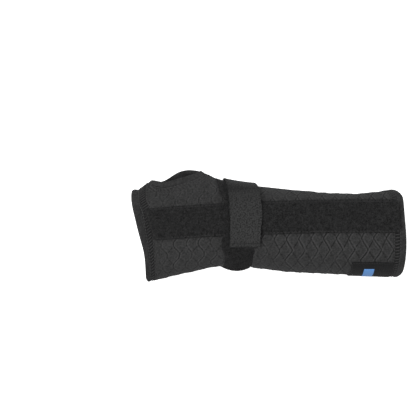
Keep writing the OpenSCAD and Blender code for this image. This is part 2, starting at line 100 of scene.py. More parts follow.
# %% Soft studio light
bpy.context.scene.view_settings.view_transform = "Standard"
surround = bpy.data.worlds.new("surround")
surround.use_nodes = True
surround.node_tree.nodes["Background"].inputs["Color"].default_value = (1, 1, 1, 1)
surround.node_tree.nodes["Background"].inputs["Strength"].default_value = 0.6
bpy.context.scene.world = surround


def soft_panel(name, place, size, power):
    """A square lamp that faces the middle of the splint."""
    data = bpy.data.lights.new(name, "AREA")
    data.size = size
    data.energy = power
    lamp = bpy.data.objects.new(name, data)
    lamp.location = place
    lamp.rotation_euler = (aim - Vector(place)).to_track_quat("-Z", "Y").to_euler()
    bpy.context.collection.objects.link(lamp)


soft_panel("key_panel", (-0.4, -0.4, 1.1), 0.6, 14)
soft_panel("side_panel", (0.9, 0.15, 0.7), 0.5, 4)

# %% [markdown]
# ## Sums for the materials
# A material is a net of nodes. Written out one by one, a few sums fill a page, so a small class
# wraps a socket and lets Python's own signs add the Math nodes. Anything that isn't a plain sum
# comes from one method that takes the node's type, its settings and what goes into it.


# %% A wire that sums can be written with
class Wire:
    """The output of a node. Each sign adds one Math node to the finish that it belongs to."""

    def __init__(self, finish, socket):
        self.finish, self.socket = finish, socket

    def maths(self, operation, first, second=0.0):
        return self.finish.node("ShaderNodeMath", {"operation": operation}, {0: first, 1: second})

    def __add__(self, other):
        return self.maths("ADD", self, other)

    def __sub__(self, other):
        return self.maths("SUBTRACT", self, other)

    def __rsub__(self, other):
        return self.maths("SUBTRACT", other, self)

    def __mul__(self, other):
        return self.maths("MULTIPLY", self, other)

    def sine(self):
        return self.maths("SINE", self)

    def size(self):
        return self.maths("ABSOLUTE", self)

    def between(self, low, high):
        """0 where the value is low, 1 where it is high, and even in between."""
        inputs = {"Value": self, "From Min": low, "From Max": high}
        return self.finish.node("ShaderNodeMapRange", {"clamp": True}, inputs)

    __radd__ = __add__
    __rmul__ = __mul__


class Finish:
    """A material: node() adds any node, and feed() sets or links an input of the shader."""

    def __init__(self, name):
        self.material = bpy.data.materials.new(name)
        self.material.use_nodes = True
        self.nodes = self.material.node_tree.nodes
        self.shader = self.nodes["Principled BSDF"]

    def plug(self, socket, value):
        if isinstance(value, Wire):
            self.material.node_tree.links.new(socket, value.socket)
        else:
            socket.default_value = (*value, 1) if socket.type == "RGBA" else value

    def node(self, kind, settings={}, inputs={}, output=0):
        made = self.nodes.new(kind)
        for key, value in settings.items():
            setattr(made, key, value)
        for key, value in inputs.items():
            self.plug(made.inputs[key], value)
        return Wire(self, made.outputs[output])

    def feed(self, **inputs):
        for key, value in inputs.items():
            self.plug(self.shader.inputs[key.replace("_", " ")], value)
        return self

    def noise(self, vector, scale, detail=2.0):
        return self.node("ShaderNodeTexNoise", {}, {"Vector": vector, "Scale": scale, "Detail": detail})

    def blend(self, share, first, second):
        """A colour between two colours."""
        inputs = {0: share, 6: first, 7: second}
        return self.node("ShaderNodeMix", {"data_type": "RGBA"}, inputs, output=2)

    def tones(self, share, colour, dark, light):
        """A colour between a dark share and a light share of one colour."""
        return self.blend(share, [c * dark for c in colour], [c * light for c in colour])

    def bump(self, height, depth):
        inputs = {"Strength": 1.0, "Distance": depth, "Height": height}
        return self.node("ShaderNodeBump", {}, inputs)

    def cloth(self):
        """The piece's own flat pattern in millimetres: along, across, and both as a vector."""
        flat = self.node("ShaderNodeUVMap", {"uv_map": "pattern"})
        inputs = {0: flat, 1: (1000, 1000, 1000)}
        spot = self.node("ShaderNodeVectorMath", {"operation": "MULTIPLY"}, inputs)
        along, across = (self.node("ShaderNodeSeparateXYZ", {}, {0: spot}, output=i) for i in (0, 1))
        return along, across, spot

    def object_spot(self):
        """The place on the object itself, in metres."""
        return self.node("ShaderNodeTexCoord", {}, {}, output="Object")

    def mark(self, name):
        """A number that was written on the piece's points when it was shaped."""
        return self.node("ShaderNodeAttribute", {"attribute_name": name}, {}, output="Fac")


# %% [markdown]
# ## The finishes
# Every cloth but the label's stripe is black, and what tells them apart is their surface. Embossed
# knit has fine stitches and scatters light softly, loop pile is a dark tangle with bright specks,
# elastic is ribbed, and the hems are smooth. So each finish has almost the same black, its own weave in
# millimetres, and a little sheen, which is how fibre ends catch light from the side.


# %% Knit, smooth hem and lining
def knit(name, black, wale, rough=0.85):
    """Fine weft knit: little V stitches in columns along the arm, and faint unevenness."""
    f = Finish(name)
    along, across, spot = f.cloth()
    column = (across * (math.pi / wale)).sine().size()
    course = (along * (2 * math.pi / wale) + column * 2.4).sine()
    stitch = column * 0.7 + course * 0.3
    cloud = f.noise(spot, 0.13)
    fleck = f.noise(spot, 0.62, 3.0)
    fuzz = f.noise(spot, 1.9)
    unevenness_and_painted_shading = cloud.between(0.3, 0.7) * 0.15 + fleck.between(0.36, 0.64) * 0.5 + fuzz.between(0.35, 0.65) * 0.35
    # The relief number written on the points is painted shade and painted highlight: shade in the grooves and
    # a highlight on the ridges. The noise is the knit's own uneven tone.
    shade = f.mark("relief") * 0.8 + unevenness_and_painted_shading * 0.9 + stitch * 0.08 - 0.43
    height = stitch * 0.6 + fuzz * 0.8 + fleck * 0.8
    f.feed(Base_Color=f.tones(shade.between(0.0, 1.0), black, 0.2, 1.9))
    f.feed(Roughness=fuzz.between(0.0, 1.0) * 0.2 + (rough - 0.1))
    f.feed(Normal=f.bump(height, 0.0003), Specular_IOR_Level=0.2)
    f.feed(Sheen_Weight=0.05, Sheen_Roughness=0.5, Sheen_Tint=(0.75, 0.76, 0.78))
    return f.material


sleeve_knit = knit("sleeve_knit", (0.0194, 0.0194, 0.0195), 0.95)
hem_knit = knit("hem_knit", (0.0165, 0.0165, 0.0166), 0.7)
lining_knit = knit("lining_knit", (0.020, 0.020, 0.0204), 0.6, rough=0.95)


# %% Loop pile, woven tape and ribbed elastic
def loop_pile(name, black):
    """A tangle of brushed loops: dark between them, bright where a loop turns over."""
    f = Finish(name)
    spot = f.cloth()[2]
    tangle = f.noise(spot, 0.7, 3.0)
    curl = f.noise(spot, 2.2)
    # The relief number is a painted highlight on the strips' raised clumps and painted shade between them,
    # and a random brightness on each loop.
    shade = f.mark("relief") * 0.6 + tangle.between(0.35, 0.65) * 0.45 + curl.between(0.3, 0.7) * 0.3 - 0.3
    f.feed(Base_Color=f.tones(shade.between(0.0, 1.0), black, 0.15, 2.6), Roughness=0.92)
    f.feed(Normal=f.bump(tangle + curl * 0.8, 0.0006), Specular_IOR_Level=0.12)
    f.feed(Sheen_Weight=0.03, Sheen_Roughness=0.5, Sheen_Tint=(0.7, 0.7, 0.72))
    return f.material


def woven_tape(name, black, rib, rough=0.8, lengthwise=False, marked=False, speckle=0.35):
    """Narrow woven goods: ribs across or lengthwise, crossed by a finer warp."""
    f = Finish(name)
    along, across, spot = f.cloth()
    if lengthwise:
        along, across = across, along
    weft = (along * (math.pi / rib)).sine().size()
    warp = (across * (math.pi / (0.6 * rib)) + (along * (math.pi / rib)).sine() * 0.6).sine().size()
    weave = weft * 0.6 + warp * 0.4
    fleck = f.noise(spot, 0.75, 3.0)
    fuzz = f.noise(spot, 2.0)
    unevenness_and_painted_shading = f.noise(spot, 0.12)
    shade = weave * 0.3 + fleck.between(0.35, 0.65) * speckle + fuzz.between(0.35, 0.65) * 0.35
    shade = shade + unevenness_and_painted_shading.between(0.3, 0.7) * 0.2 - 0.5 * (speckle - 0.35) + 0.05
    if marked:
        # On the strap's tab the relief number is painted shade over the thumb side and between the cords, a
        # painted highlight on each cord, and darker selvages.
        shade = shade + f.mark("relief") - 0.5
    f.feed(Base_Color=f.tones(shade.between(0.0, 1.0), black, 0.35, 1.8), Roughness=rough)
    f.feed(Normal=f.bump(weave * 0.8 + fuzz * 0.6 + fleck * 0.5, 0.00025), Specular_IOR_Level=0.2)
    f.feed(Sheen_Weight=0.04, Sheen_Roughness=0.4, Sheen_Tint=(0.8, 0.8, 0.82))
    return f.material


pocket_pile = loop_pile("pocket_pile", (0.0112, 0.0112, 0.0113))
strap_pile = loop_pile("strap_pile", (0.0093, 0.0093, 0.0094))
strap_elastic = woven_tape("strap_elastic", (0.0132, 0.0133, 0.0133), 1.5, lengthwise=True, marked=True,
                           speckle=1.7)
black_tape = woven_tape("black_tape", (0.015, 0.015, 0.0152), 0.7)
label_satin = woven_tape("label_satin", (0.0038, 0.0038, 0.0040), 0.35, rough=0.9)


# %% Stripe, thread, hooks, moulded tips and the two metals
def stripe_cloth():
    """Woven blue: the same satin as the label, in a lighter yarn."""
    f = Finish("stripe_blue")
    along, across, spot = f.cloth()
    weave = (along * (math.pi / 0.35)).sine().size()
    fuzz = f.noise(spot, 1.2)
    shade = weave * 0.4 + fuzz * 0.6
    f.feed(Base_Color=f.blend(shade, (0.05, 0.16, 0.40), (0.13, 0.33, 0.72)), Roughness=0.5)
    f.feed(Normal=f.bump(weave, 0.00012))
    return f.material


def thread(name, black):
    """Twisted sewing thread: fine slanting plies."""
    f = Finish(name)
    ply = f.noise(f.object_spot(), 2500.0, 1.0)
    f.feed(Base_Color=f.tones(ply, black, 0.6, 1.5), Roughness=0.8)
    f.feed(Normal=f.bump(ply, 0.0001), Specular_IOR_Level=0.15, Sheen_Weight=0.04)
    return f.material


def plastic(name, black, grain):
    """Moulded plastic with a fine matt skin."""
    f = Finish(name)
    skin = f.noise(f.object_spot(), grain, 3.0)
    f.feed(Base_Color=f.tones(skin, black, 0.8, 1.3))
    f.feed(Roughness=skin * 0.25 + 0.55, Normal=f.bump(skin, 0.00004), Specular_IOR_Level=0.2)
    return f.material


def drawn_metal(name, tone, along_scale):
    """Rolled strip: fine scratches along the arm, which blur the shine across them."""
    f = Finish(name)
    spot = f.object_spot()
    stretch = f.node("ShaderNodeMapping", {}, {"Vector": spot, "Scale": (along_scale, 2600.0, 900.0)})
    scratch = f.noise(stretch, 1.0, 4.0)
    cloud = f.noise(spot, 60.0)
    f.feed(Base_Color=f.tones(scratch, tone, 0.82, 1.0), Metallic=1.0)
    f.feed(Roughness=scratch * 0.18 + cloud * 0.12 + 0.24, Normal=f.bump(scratch, 0.00003))
    return f.material


label_blue = stripe_cloth()
black_thread = thread("black_thread", (0.027, 0.027, 0.027))
hook_nylon = plastic("hook_nylon", (0.016, 0.016, 0.017), 900.0)
tip_plastic = plastic("tip_plastic", (0.02, 0.02, 0.021), 1500.0)
aluminium = drawn_metal("aluminium", (0.40, 0.405, 0.415), 30.0)
spring_steel = drawn_metal("spring_steel", (0.33, 0.335, 0.345), 60.0)
print(len(bpy.data.materials), "finishes")

# %% [markdown]
# ## The tube that every cloth piece is laid on
# A sleeve is sewn from flat cloth, and its parts lie on one another like tiles. So each piece is
# cut flat here too, in true size, and one function lays it on the tube. The tube is the CAD's own:
# a flat strip over the palm, a flat strip under the back, and a half ellipse on each side. A spot
# on it is a distance along the arm, a turn round the tube and a height off the outer face.

# %% The sleeve's sizes, in millimetres
mm = 0.001
sleeve_l, hand_depth, forearm_depth = 236.0, 37.0, 62.0
half_l = sleeve_l / 2
palm_r, back_rise = 800.0, 7.0
wall_t, hem_w, hem_proud = 3.0, 5.0, 0.8
hem_lean, lean_full_y, lean_fade = 7.0, 38.0, 20.0
flat_half = 12.5
face_gap, edge_gap, seam_half_gap = 0.25, 0.3, 0.4
stay_turn, seam_u, seam_r = 30, 150.0, 305.0

forearm_low, forearm_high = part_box("forearm_hem")
stay_low, stay_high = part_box("palm_stay")
home = np.array([forearm_high.x / mm - half_l, (stay_low.y + stay_high.y) / 2 / mm, forearm_low.z / mm])
print("the sleeve's own origin stands at", home.round(3), "mm")

# %% Side view and plan view
palm_hand_z, palm_cuff_z = hem_proud + hand_depth, hem_proud + forearm_depth
palm_chord = math.hypot(sleeve_l, palm_cuff_z - palm_hand_z)
palm_drop = math.sqrt(palm_r**2 - palm_chord**2 / 4)
palm_cx = palm_drop * (palm_cuff_z - palm_hand_z) / palm_chord
palm_cz = (palm_hand_z + palm_cuff_z) / 2 - palm_drop * sleeve_l / palm_chord
back_r = (half_l**2 + back_rise**2) / (2 * back_rise)


def palm_z(x):
    return palm_cz + np.sqrt(palm_r**2 - (x - palm_cx) ** 2)


def back_z(x):
    return hem_proud + back_rise - back_r + np.sqrt(back_r**2 - x**2)


def smooth_line(points):
    """A smooth curve through (share of the sleeve's length, reach) points."""
    share, y = (np.array(column, float) for column in zip(*points))
    last = len(share) - 1
    before, after = np.maximum(np.arange(last + 1) - 1, 0), np.minimum(np.arange(last + 1) + 1, last)
    slope = (y[after] - y[before]) / (share[after] - share[before])

    def at(x):
        s = np.clip(x / sleeve_l + 0.5, 0, 1)
        i = np.clip(np.searchsorted(share, s, side="right") - 1, 0, last - 1)
        w = share[i + 1] - share[i]
        k = (s - share[i]) / w
        ends = (2 * k**3 - 3 * k**2 + 1) * y[i] + (3 * k**2 - 2 * k**3) * y[i + 1]
        return ends + (k**3 - 2 * k**2 + k) * w * slope[i] + (k**3 - k**2) * w * slope[i + 1]

    return at


thumb_reach = smooth_line([(0, 41), (0.055, 48), (0.19, 61), (0.32, 45), (0.48, 37), (0.8, 29), (1, 34)])
little_reach = smooth_line([(0, 48.5), (0.19, 40.4), (0.32, 34.8), (0.64, 42), (1, 44.5)])


# %% A spot on the tube
def mix(a, b, k):
    return a + (b - a) * k


def ramp(v, start, end):
    """0 before start, 1 after end, and a smooth rise between them."""
    k = np.clip((v - start) / (end - start), 0, 1)
    return k * k * (3 - 2 * k)


def on_tube(x, turn, off):
    """Points in millimetres, from distances along the arm, turns in degrees and heights.

    Turns 0 to 60 are the flat over the palm, 60 to 180 the little-finger side, 180 to 240 the flat
    under the back and 240 to 360 the thumb side.
    """
    x, turn, off = np.broadcast_arrays(*(np.asarray(v, float) for v in (x, turn, off)))
    t = np.mod(turn, 360)
    low, high = back_z(x), palm_z(x)
    b = (high - low) / 2
    side = np.where(t < 180, -1.0, 1.0)
    angle = np.radians(np.where(t < 180, 90 - 180 * (t - 60) / 120, 180 * (t - 240) / 120 - 90))
    a = np.where(side > 0, thumb_reach(x), little_reach(x)) - flat_half
    nx, nz = np.cos(angle) / a, np.sin(angle) / b
    stretch = off / np.hypot(nx, nz)
    y = side * (flat_half + a * np.cos(angle) + stretch * nx)
    z = low + b + b * np.sin(angle) + stretch * nz
    palm, back = t < 60, (t >= 180) & (t < 240)
    y = np.where(palm, mix(flat_half, -flat_half, t / 60), y)
    y = np.where(back, mix(-flat_half, flat_half, (t - 180) / 60), y)
    z = np.where(palm, high + off, np.where(back, low - off, z))
    return np.stack([x, y, z], -1)


# %% Worn corners and the leaning hem
elbow_thumb_in, elbow_little_in, hand_little_in = 6.5, 2.5, 4.2


def laid(x, turn, off):
    """Points as on_tube gives them, with the hand hem's lean and both ends' corners turned in."""
    t = np.mod(turn, 360)
    little_corner = 0.45 * ramp(abs(t - 125), 70, 25) + 0.55 * ramp(abs(t - 138), 32, 8)
    elbow_in = elbow_thumb_in * ramp(abs(t - 300), 50, 12) + elbow_little_in * ramp(abs(t - 142), 34, 8)
    x = x - elbow_in * ramp(x, 92, half_l) + hand_little_in * ramp(-x, 85, 112) * little_corner
    y = on_tube(-half_l, turn, 0)[..., 1]
    lean = -hem_lean * np.sin(np.pi / 2 * np.clip(y / lean_full_y, -1, 1))
    return on_tube(x + lean * np.maximum(0, 1 - (x + half_l) / lean_fade), turn, off)


# %% [markdown]
# ## From a flat pattern to the tube
# Cloth is measured with a tape, not in degrees. A table holds the distance round the tube from the
# stay's middle line to every turn, at every place along the arm. Read backwards, it tells where on
# the tube a spot of the flat pattern lies, so a width cut in the flat is the same width laid.

# %% Table of distances round the tube
table_x = np.linspace(-half_l, half_l, 119)
table_turn = np.linspace(-160, 530, 1381)
rows = on_tube(table_x[:, None], table_turn[None, :], 0.0)
steps = np.linalg.norm(np.diff(rows, axis=1), axis=2)
girth_table = np.concatenate([np.zeros((len(table_x), 1)), np.cumsum(steps, axis=1)], axis=1)
girth_table -= girth_table[:, [int(np.argmin(abs(table_turn - stay_turn)))]]
table_round = np.arange(-130, 330, 0.5)
turn_table = np.array([np.interp(table_round, row, table_turn) for row in girth_table])


def look_up(table, x, columns, value):
    """Reads a table between its rows and columns."""
    x, value = np.broadcast_arrays(np.asarray(x, float), np.asarray(value, float))
    i = np.clip((x - table_x[0]) / (table_x[1] - table_x[0]), 0, len(table_x) - 1.001)
    j = np.clip((value - columns[0]) / (columns[1] - columns[0]), 0, len(columns) - 1.001)
    i0, j0 = i.astype(int), j.astype(int)
    k, m = i - i0, j - j0
    first = mix(table[i0, j0], table[i0, j0 + 1], m)
    second = mix(table[i0 + 1, j0], table[i0 + 1, j0 + 1], m)
    return mix(first, second, k)


def round_at(x, turn):
    """Distance round the tube from the stay's middle line, towards the little finger."""
    return look_up(girth_table, x, table_turn, turn)


def turn_at(x, distance):
    return look_up(turn_table, x, table_round, distance)


wrist_x = -30
girths = [float(round_at(x, stay_turn + 360) - round_at(x, stay_turn)) for x in (-half_l, wrist_x, half_l)]
print("round the hand, wrist and forearm:", [round(g) for g in girths], "mm")


# %% [markdown]
# A pattern's three numbers are the distance along the arm, the distance from the stay's middle
# line towards the thumb, and the height. Cloth is never quite smooth, so a slight, slow unevenness
# is added to every height. It dies out where the stay, the strap and the springs need their room.

# %% Laying a flat pattern on the sleeve
strap_x = -34.0
flare_x, flare_reach, flare_out = -79.0, 25.0, 9.5
web_back, web_reach, web_out = 24.0, 6.0, 2.4
press_x, press_half, press_in = -27.1, 12.9, 1.2
fold_depth, dent_depth = 0.4, 0.35


def mottle(x, y, size, seed):
    """Smooth uneven numbers between -1 and 1, with hills about as wide as size."""
    field = np.random.default_rng(seed).uniform(-1, 1, (128, 128))
    i, j = np.floor(x / size).astype(int), np.floor(y / size).astype(int)
    k, m = (v * v * (3 - 2 * v) for v in (x / size - i, y / size - j))
    i0, i1, j0, j1 = i % 128, (i + 1) % 128, j % 128, (j + 1) % 128
    return mix(mix(field[i0, j0], field[i0, j1], m), mix(field[i1, j0], field[i1, j1], m), k)


def drape(x, y):
    """Slow dents and folds of the worn sleeve, in millimetres."""
    folds = mottle(x + 0.6 * y, y * 0.35, 11.0, 3) * fold_depth + mottle(x, y, 23.0, 4) * dent_depth
    past_stay = ramp(abs(y), 17, 26)
    off_strap = ramp(abs(x - strap_x), 24, 38)
    off_back = 1 - ramp(-y, 58, 72)
    inside = ramp(half_l - abs(x), 8, 20)
    return folds * past_stay * off_strap * off_back * inside


def flare(x, turn):
    """How far the thumb hole's back rim and its web stand out, as a thumb pushes them for good."""
    t = np.mod(turn, 360)
    along = np.clip(1 - ((x - flare_x) / flare_reach) ** 2, 0, 1) ** 1.5
    web = web_out * np.exp(-(((x - flare_x + web_back) / web_reach) ** 2))
    web = web * ramp(t, 250, 285) * (1 - ramp(t, 320, 345))
    return flare_out * along * ramp(t, 235, 276) * (1 - ramp(t, 284, 306)) + web


def narrow_edge(turn):
    """Where the strap curls over the little-finger edge."""
    return ramp(turn, 80, 98) * (1 - ramp(turn, 145, 158))


def at_turn(x, turn, h):
    """A spot on the worn sleeve, with its dents, its flare and the strap's pressure."""
    pressed = press_in * narrow_edge(turn) * (1 - ramp(abs(x - press_x), press_half - 2, press_half + 1.5))
    spots = laid(x, turn, h + drape(x, -round_at(x, turn)) - pressed)
    spots[..., 1] += flare(x, turn)
    return spots


def on_sleeve(flat):
    """Pattern spots to spots on the tube: along, towards the thumb, height."""
    x, y, h = flat.T
    return at_turn(x, turn_at(x, -y), h)


# %% [markdown]
# ## Cutting cloth
# A piece of cloth starts as a grid, and the solidify operator makes it thick. It keeps its flat
# shape as a UV map, so the weave follows the cloth however it is bent, and only then is it laid in
# place. Raised or sunken spots are also written down as a number on each point, so that the finish
# can be darker in a groove and lighter on a ridge: painted shade and painted highlight.


# %% Flat slabs, and what shapes them
def moved(bm, x, y, h):
    bmesh.ops.translate(bm, verts=bm.verts, vec=(x, y, h))
    return bm


def edges_along(bm, axis, least):
    """The edges that run further than so much along an axis."""
    return [e for e in bm.edges if abs(e.verts[0].co[axis] - e.verts[1].co[axis]) > least]


def divided(bm, edges, cuts):
    bmesh.ops.subdivide_edges(bm, edges=edges, cuts=cuts, use_grid_fill=True)


def rounded(bm, edges, size, segments):
    bmesh.ops.bevel(bm, geom=edges, offset=size, offset_type="OFFSET", segments=segments, profile=0.5,
                    affect="EDGES", material=-1)


def slab(along, across, thick, cell):
    """A flat slab with its low corner at the origin, in cells of about one size."""
    bm = bmesh.new()
    counts = [max(1, round(side / cell)) for side in (along, across)]
    bmesh.ops.create_grid(bm, x_segments=counts[0], y_segments=counts[1], size=0.5)
    moved(bm, 0.5, 0.5, 0)
    bmesh.ops.scale(bm, verts=bm.verts, vec=(along, across, 1))
    bmesh.ops.solidify(bm, geom=bm.faces[:], thickness=thick)
    moved(bm, 0, 0, -min(v.co.z for v in bm.verts))
    bmesh.ops.recalc_face_normals(bm, faces=bm.faces)
    return bm


def middle_slab(start, length, width, thick, cell):
    """A slab that begins at start and lies half on each side of the middle line."""
    return moved(slab(length, width, thick, cell), start, -width / 2, 0)


def mesh_of(bm, name):
    mesh = bpy.data.meshes.new(name)
    bm.to_mesh(mesh)
    bm.free()
    return mesh


def points_of(mesh):
    co = np.empty(len(mesh.vertices) * 3, np.float32)
    mesh.vertices.foreach_get("co", co)
    return co.reshape(-1, 3).astype(float)


def raised(flat, rise, along=0.0, across=0.0):
    """The same spots, higher, and shifted along and across."""
    return flat + np.stack(np.broadcast_arrays(along, across, rise), -1)


# %% Finished pieces
def finish_piece(name, shape, place, finish, body="sleeve", stands_for=(), marks=None, weld=0.0,
                 lining=None):
    """Keeps the flat pattern as a UV map, lays the piece, and gives it its finish and its body."""
    mesh = mesh_of(shape, name) if isinstance(shape, bmesh.types.BMesh) else shape
    flat = points_of(mesh)
    corner_ids = np.empty(len(mesh.loops), np.int32)
    mesh.loops.foreach_get("vertex_index", corner_ids)
    pattern = mesh.uv_layers.new(name="pattern")
    pattern.data.foreach_set("uv", (flat[corner_ids][:, :2] * mm).astype(np.float32).ravel())
    if marks is not None:
        relief = mesh.attributes.new("relief", "FLOAT", "POINT")
        relief.data.foreach_set("value", marks(flat).astype(np.float32))
    mesh.vertices.foreach_set("co", ((place(flat) + home) * mm).astype(np.float32).ravel())
    if weld:
        bm = bmesh.new()
        bm.from_mesh(mesh)
        bmesh.ops.remove_doubles(bm, verts=bm.verts, dist=weld * mm)
        bm.to_mesh(mesh)
        bm.free()
    mesh.polygons.foreach_set("use_smooth", [True] * len(mesh.polygons))
    mesh.materials.append(finish)
    if lining:
        mesh.materials.append(lining)
        inner = [all(flat[i, 2] < 0.2 - wall_t for i in face.vertices) for face in mesh.polygons]
        mesh.polygons.foreach_set("material_index", np.array(inner, np.int32))
    mesh.update()
    piece = bpy.data.objects.new(name, mesh)
    bpy.context.collection.objects.link(piece)
    if body:
        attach(piece, body)
    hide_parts(*stands_for)
    co = points_of(mesh)
    print(f"{name}: {len(mesh.polygons)} faces, box {(co.min(0) / mm).round(1)} {(co.max(0) / mm).round(1)}")
    return piece


# %% What a sheet is cut to
def cut_size(piece):
    """The width, length and area that the piece was cut to, in metres, from its own pattern."""
    mesh = piece.data
    uv = np.empty(len(mesh.loops) * 2, np.float32)
    mesh.uv_layers["pattern"].data.foreach_get("uv", uv)
    uv = uv.reshape(-1, 2).astype(float)
    starts = np.empty(len(mesh.polygons), np.int32)
    mesh.polygons.foreach_get("loop_start", starts)
    following = np.arange(len(uv)) + 1
    following[np.append(starts[1:], len(uv)) - 1] = starts
    cross = uv[:, 0] * uv[following, 1] - uv[following, 0] * uv[:, 1]
    return uv.max(0) - uv.min(0), abs(np.add.reduceat(cross, starts)).sum() / 4


def sewn_sheet(piece, fold=None):
    """Prints the size that a sheet was cut to. fold is the width of the strip that a hem was folded from, in
    metres.
    """
    size, area = cut_size(piece)
    width, length = sorted(float(v) for v in size)
    if fold:
        width, area = fold, fold * length
    print(f"{piece.name}: cut {width / mm:.0f} x {length / mm:.0f} mm, {area / mm**2:.0f} mm2")


# %% [markdown]
# ## The two panels of embossed knit
# The sleeve is cut from a palm panel and a back panel. Their knit is embossed with an ogee lattice:
# wavy lines that lean on one another and leave rows of pointed lenses. It could be only a bump in
# the material, but the grooves are half a millimetre deep and would look painted from the side, so
# they are real. A wall of large cells is cut first and only its outer face is divided finely.

# %% The embossed lattice
lens_w, lens_l, lean_over = 10.9, 20.0, 1.06
groove_depth, groove_half = 0.45, 0.42
ridge_rise, ridge_out, ridge_half, outer_ridge = 0.5, 1.05, 0.5, 0.7


def wave(phase, straight):
    """A wave that swings from a round one to one with straight sides."""
    round_one = np.cos(phase)
    zigzag = 2 / np.pi * np.arcsin(np.clip(round_one, -1, 1))
    return mix(round_one, zigzag, straight)


def emboss(x, y):
    """Height of the embossing: each wavy line is a groove with a soft ridge on both sides."""
    straight = ramp(x, -45, 45) * 0.9
    wander = mottle(x, y, 19.0, 11) + mottle(x, y, 7.0, 13) * 0.35
    swing = lens_w / 4 * lean_over * wave(2 * np.pi * y / lens_l, straight)
    slope = lens_w / 4 * 2 * np.pi / lens_l * np.sin(2 * np.pi * y / lens_l)
    lean = 1 / np.hypot(1, slope)
    height = np.zeros_like(x)
    for start, hand in ((0, 1), (lens_w / 2, -1)):
        gap = np.mod(x + wander - start - hand * swing + lens_w / 2, lens_w) - lens_w / 2
        gap = gap * lean
        groove = np.exp(-((gap / groove_half) ** 2))
        gap = gap * hand
        ridge = np.exp(-(((gap + ridge_out) / ridge_half) ** 2))
        ridge = ridge + outer_ridge * np.exp(-(((gap - ridge_out) / ridge_half) ** 2))
        height = np.minimum(height, -groove_depth * groove) + ridge_rise * ridge * (1 - groove)
    pressed = mix(0.55, 0.85, straight) + 0.35 * mottle(x, y, 12.0, 12)
    return height * pressed


# %% Where the cover stitch runs beside each hem
ladder_w, wider, further = 6.1, 0.3, 1.6


def off_web(turn):
    """0 beside the thumb hole, where the web is narrow, and 1 elsewhere."""
    return ramp(abs(np.mod(turn - seam_r + 180, 360) - 180), 42, 66)


def drawn_off(inward, room):
    """The hand hem's stitching runs wider and further in wherever there is room."""
    return inward * (1 + wider * room) + further * room


def sewn_zone(x, turn):
    """1 on the strip that the cover stitch presses down."""
    room = off_web(turn) * (x < 0)
    inward = half_l - abs(x) - hem_w
    low, high = drawn_off(0.0, room), drawn_off(ladder_w, room)
    return ramp(inward, low - 0.5, low - 0.1) * ramp(inward, high + 0.3, high - 0.3)


# %% Edges of the panels, with their notch for the thumb
thumb_l, thumb_turn, web_w, thumb_hem_w, hem_turn, oval = 42.0, 52.0, 5.5, 4.0, 7.0, 0.8
hole_x = -half_l + hem_w + web_w + thumb_hem_w + thumb_l / 2
body_from, body_to = -half_l + hem_w + edge_gap, half_l - hem_w - edge_gap


def hole_at(angle, grow):
    """The thumb hole's outline, grown by a share of its hem: along the arm, and turn."""
    c, s = np.cos(angle), np.sin(angle)
    x = hole_x + (thumb_l / 2 + grow * thumb_hem_w) * np.sign(c) * abs(c) ** oval
    return x, seam_r + (thumb_turn / 2 + grow * hem_turn) * np.sign(s) * abs(s) ** oval


def notch_at(x):
    """Half the height of the notch, in turns, so that its edge lies under the thumb hem."""
    grow = 1 + edge_gap / thumb_hem_w
    c = np.clip(abs(x - hole_x) / (thumb_l / 2 + grow * thumb_hem_w), 0, 1) ** (1 / oval)
    return (thumb_turn / 2 + grow * hem_turn) * np.sqrt(1 - c * c) ** oval


def panel_pattern(flat, first_turn, last_turn):
    """Stretches a unit-wide slab between a panel's two edges."""
    x, share, h = flat.T
    return np.stack([x, -round_at(x, mix(first_turn(x), last_turn(x), share)), h], -1)


# %% Cut the two panels
panel_cell, panel_cuts = 2.3, 3
calm_from, calm_to = 13, 16
# Strength of the painted highlight and shade on the embossing, of the painted shade between the cover
# stitch's threads, and of the darkening near the thumb hole with its reach.
relief_painted_shading, sewn_painted_shade, hole_dark, hole_dark_l, hole_dark_w = 1.8, 0.62, 0.22, 36, 30


def panel(name, first_turn, last_turn, width, stands_for, lattice_shift):
    """A wall of cloth: coarse inside, fine and embossed outside, and calm under the pocket."""
    bm = moved(slab(body_to - body_from, width, wall_t, panel_cell), body_from, 0, -wall_t)
    outer = {e for f in bm.faces if f.normal.z > 0.9 for e in f.edges}
    divided(bm, list(outer), panel_cuts)
    mesh = mesh_of(bm, name)
    co = points_of(mesh)
    co[:, 1] = 1 - co[:, 1] / width
    co = panel_pattern(co, first_turn, last_turn)
    mesh.vertices.foreach_set("co", co.astype(np.float32).ravel())

    def relief(flat):
        face = ramp(flat[:, 2], -0.5, -0.05)
        high = drawn_off(ladder_w, off_web(turn_at(flat[:, 0], -flat[:, 1])) * (flat[:, 0] < 0))
        inward = half_l - abs(flat[:, 0]) - hem_w
        calm = ramp(abs(flat[:, 1]), calm_from, calm_to) * ramp(inward - high, -0.3, 0.9)
        return emboss(flat[:, 0] + lattice_shift, flat[:, 1]) * face * calm

    def marks(flat):
        """Painted highlight on the ridges, painted shade in the grooves and on the ground between the cover
        stitch's threads, and darker near the thumb hole.
        """
        sewn = sewn_zone(flat[:, 0], turn_at(flat[:, 0], -flat[:, 1]))
        from_hole = flat[:, 1] + round_at(hole_x, seam_r - 360)
        past_hole = np.hypot((flat[:, 0] - hole_x) / hole_dark_l, from_hole / hole_dark_w)
        unevenness_and_painted_shading = relief(flat) * relief_painted_shading - sewn_painted_shade * sewn
        return 0.5 + unevenness_and_painted_shading - hole_dark * (1 - ramp(past_hole, 0.7, 1.0))

    return finish_piece(name, mesh, lambda flat: on_sleeve(raised(flat, relief(flat))), sleeve_knit, "sleeve",
                        stands_for, marks, lining=lining_knit)


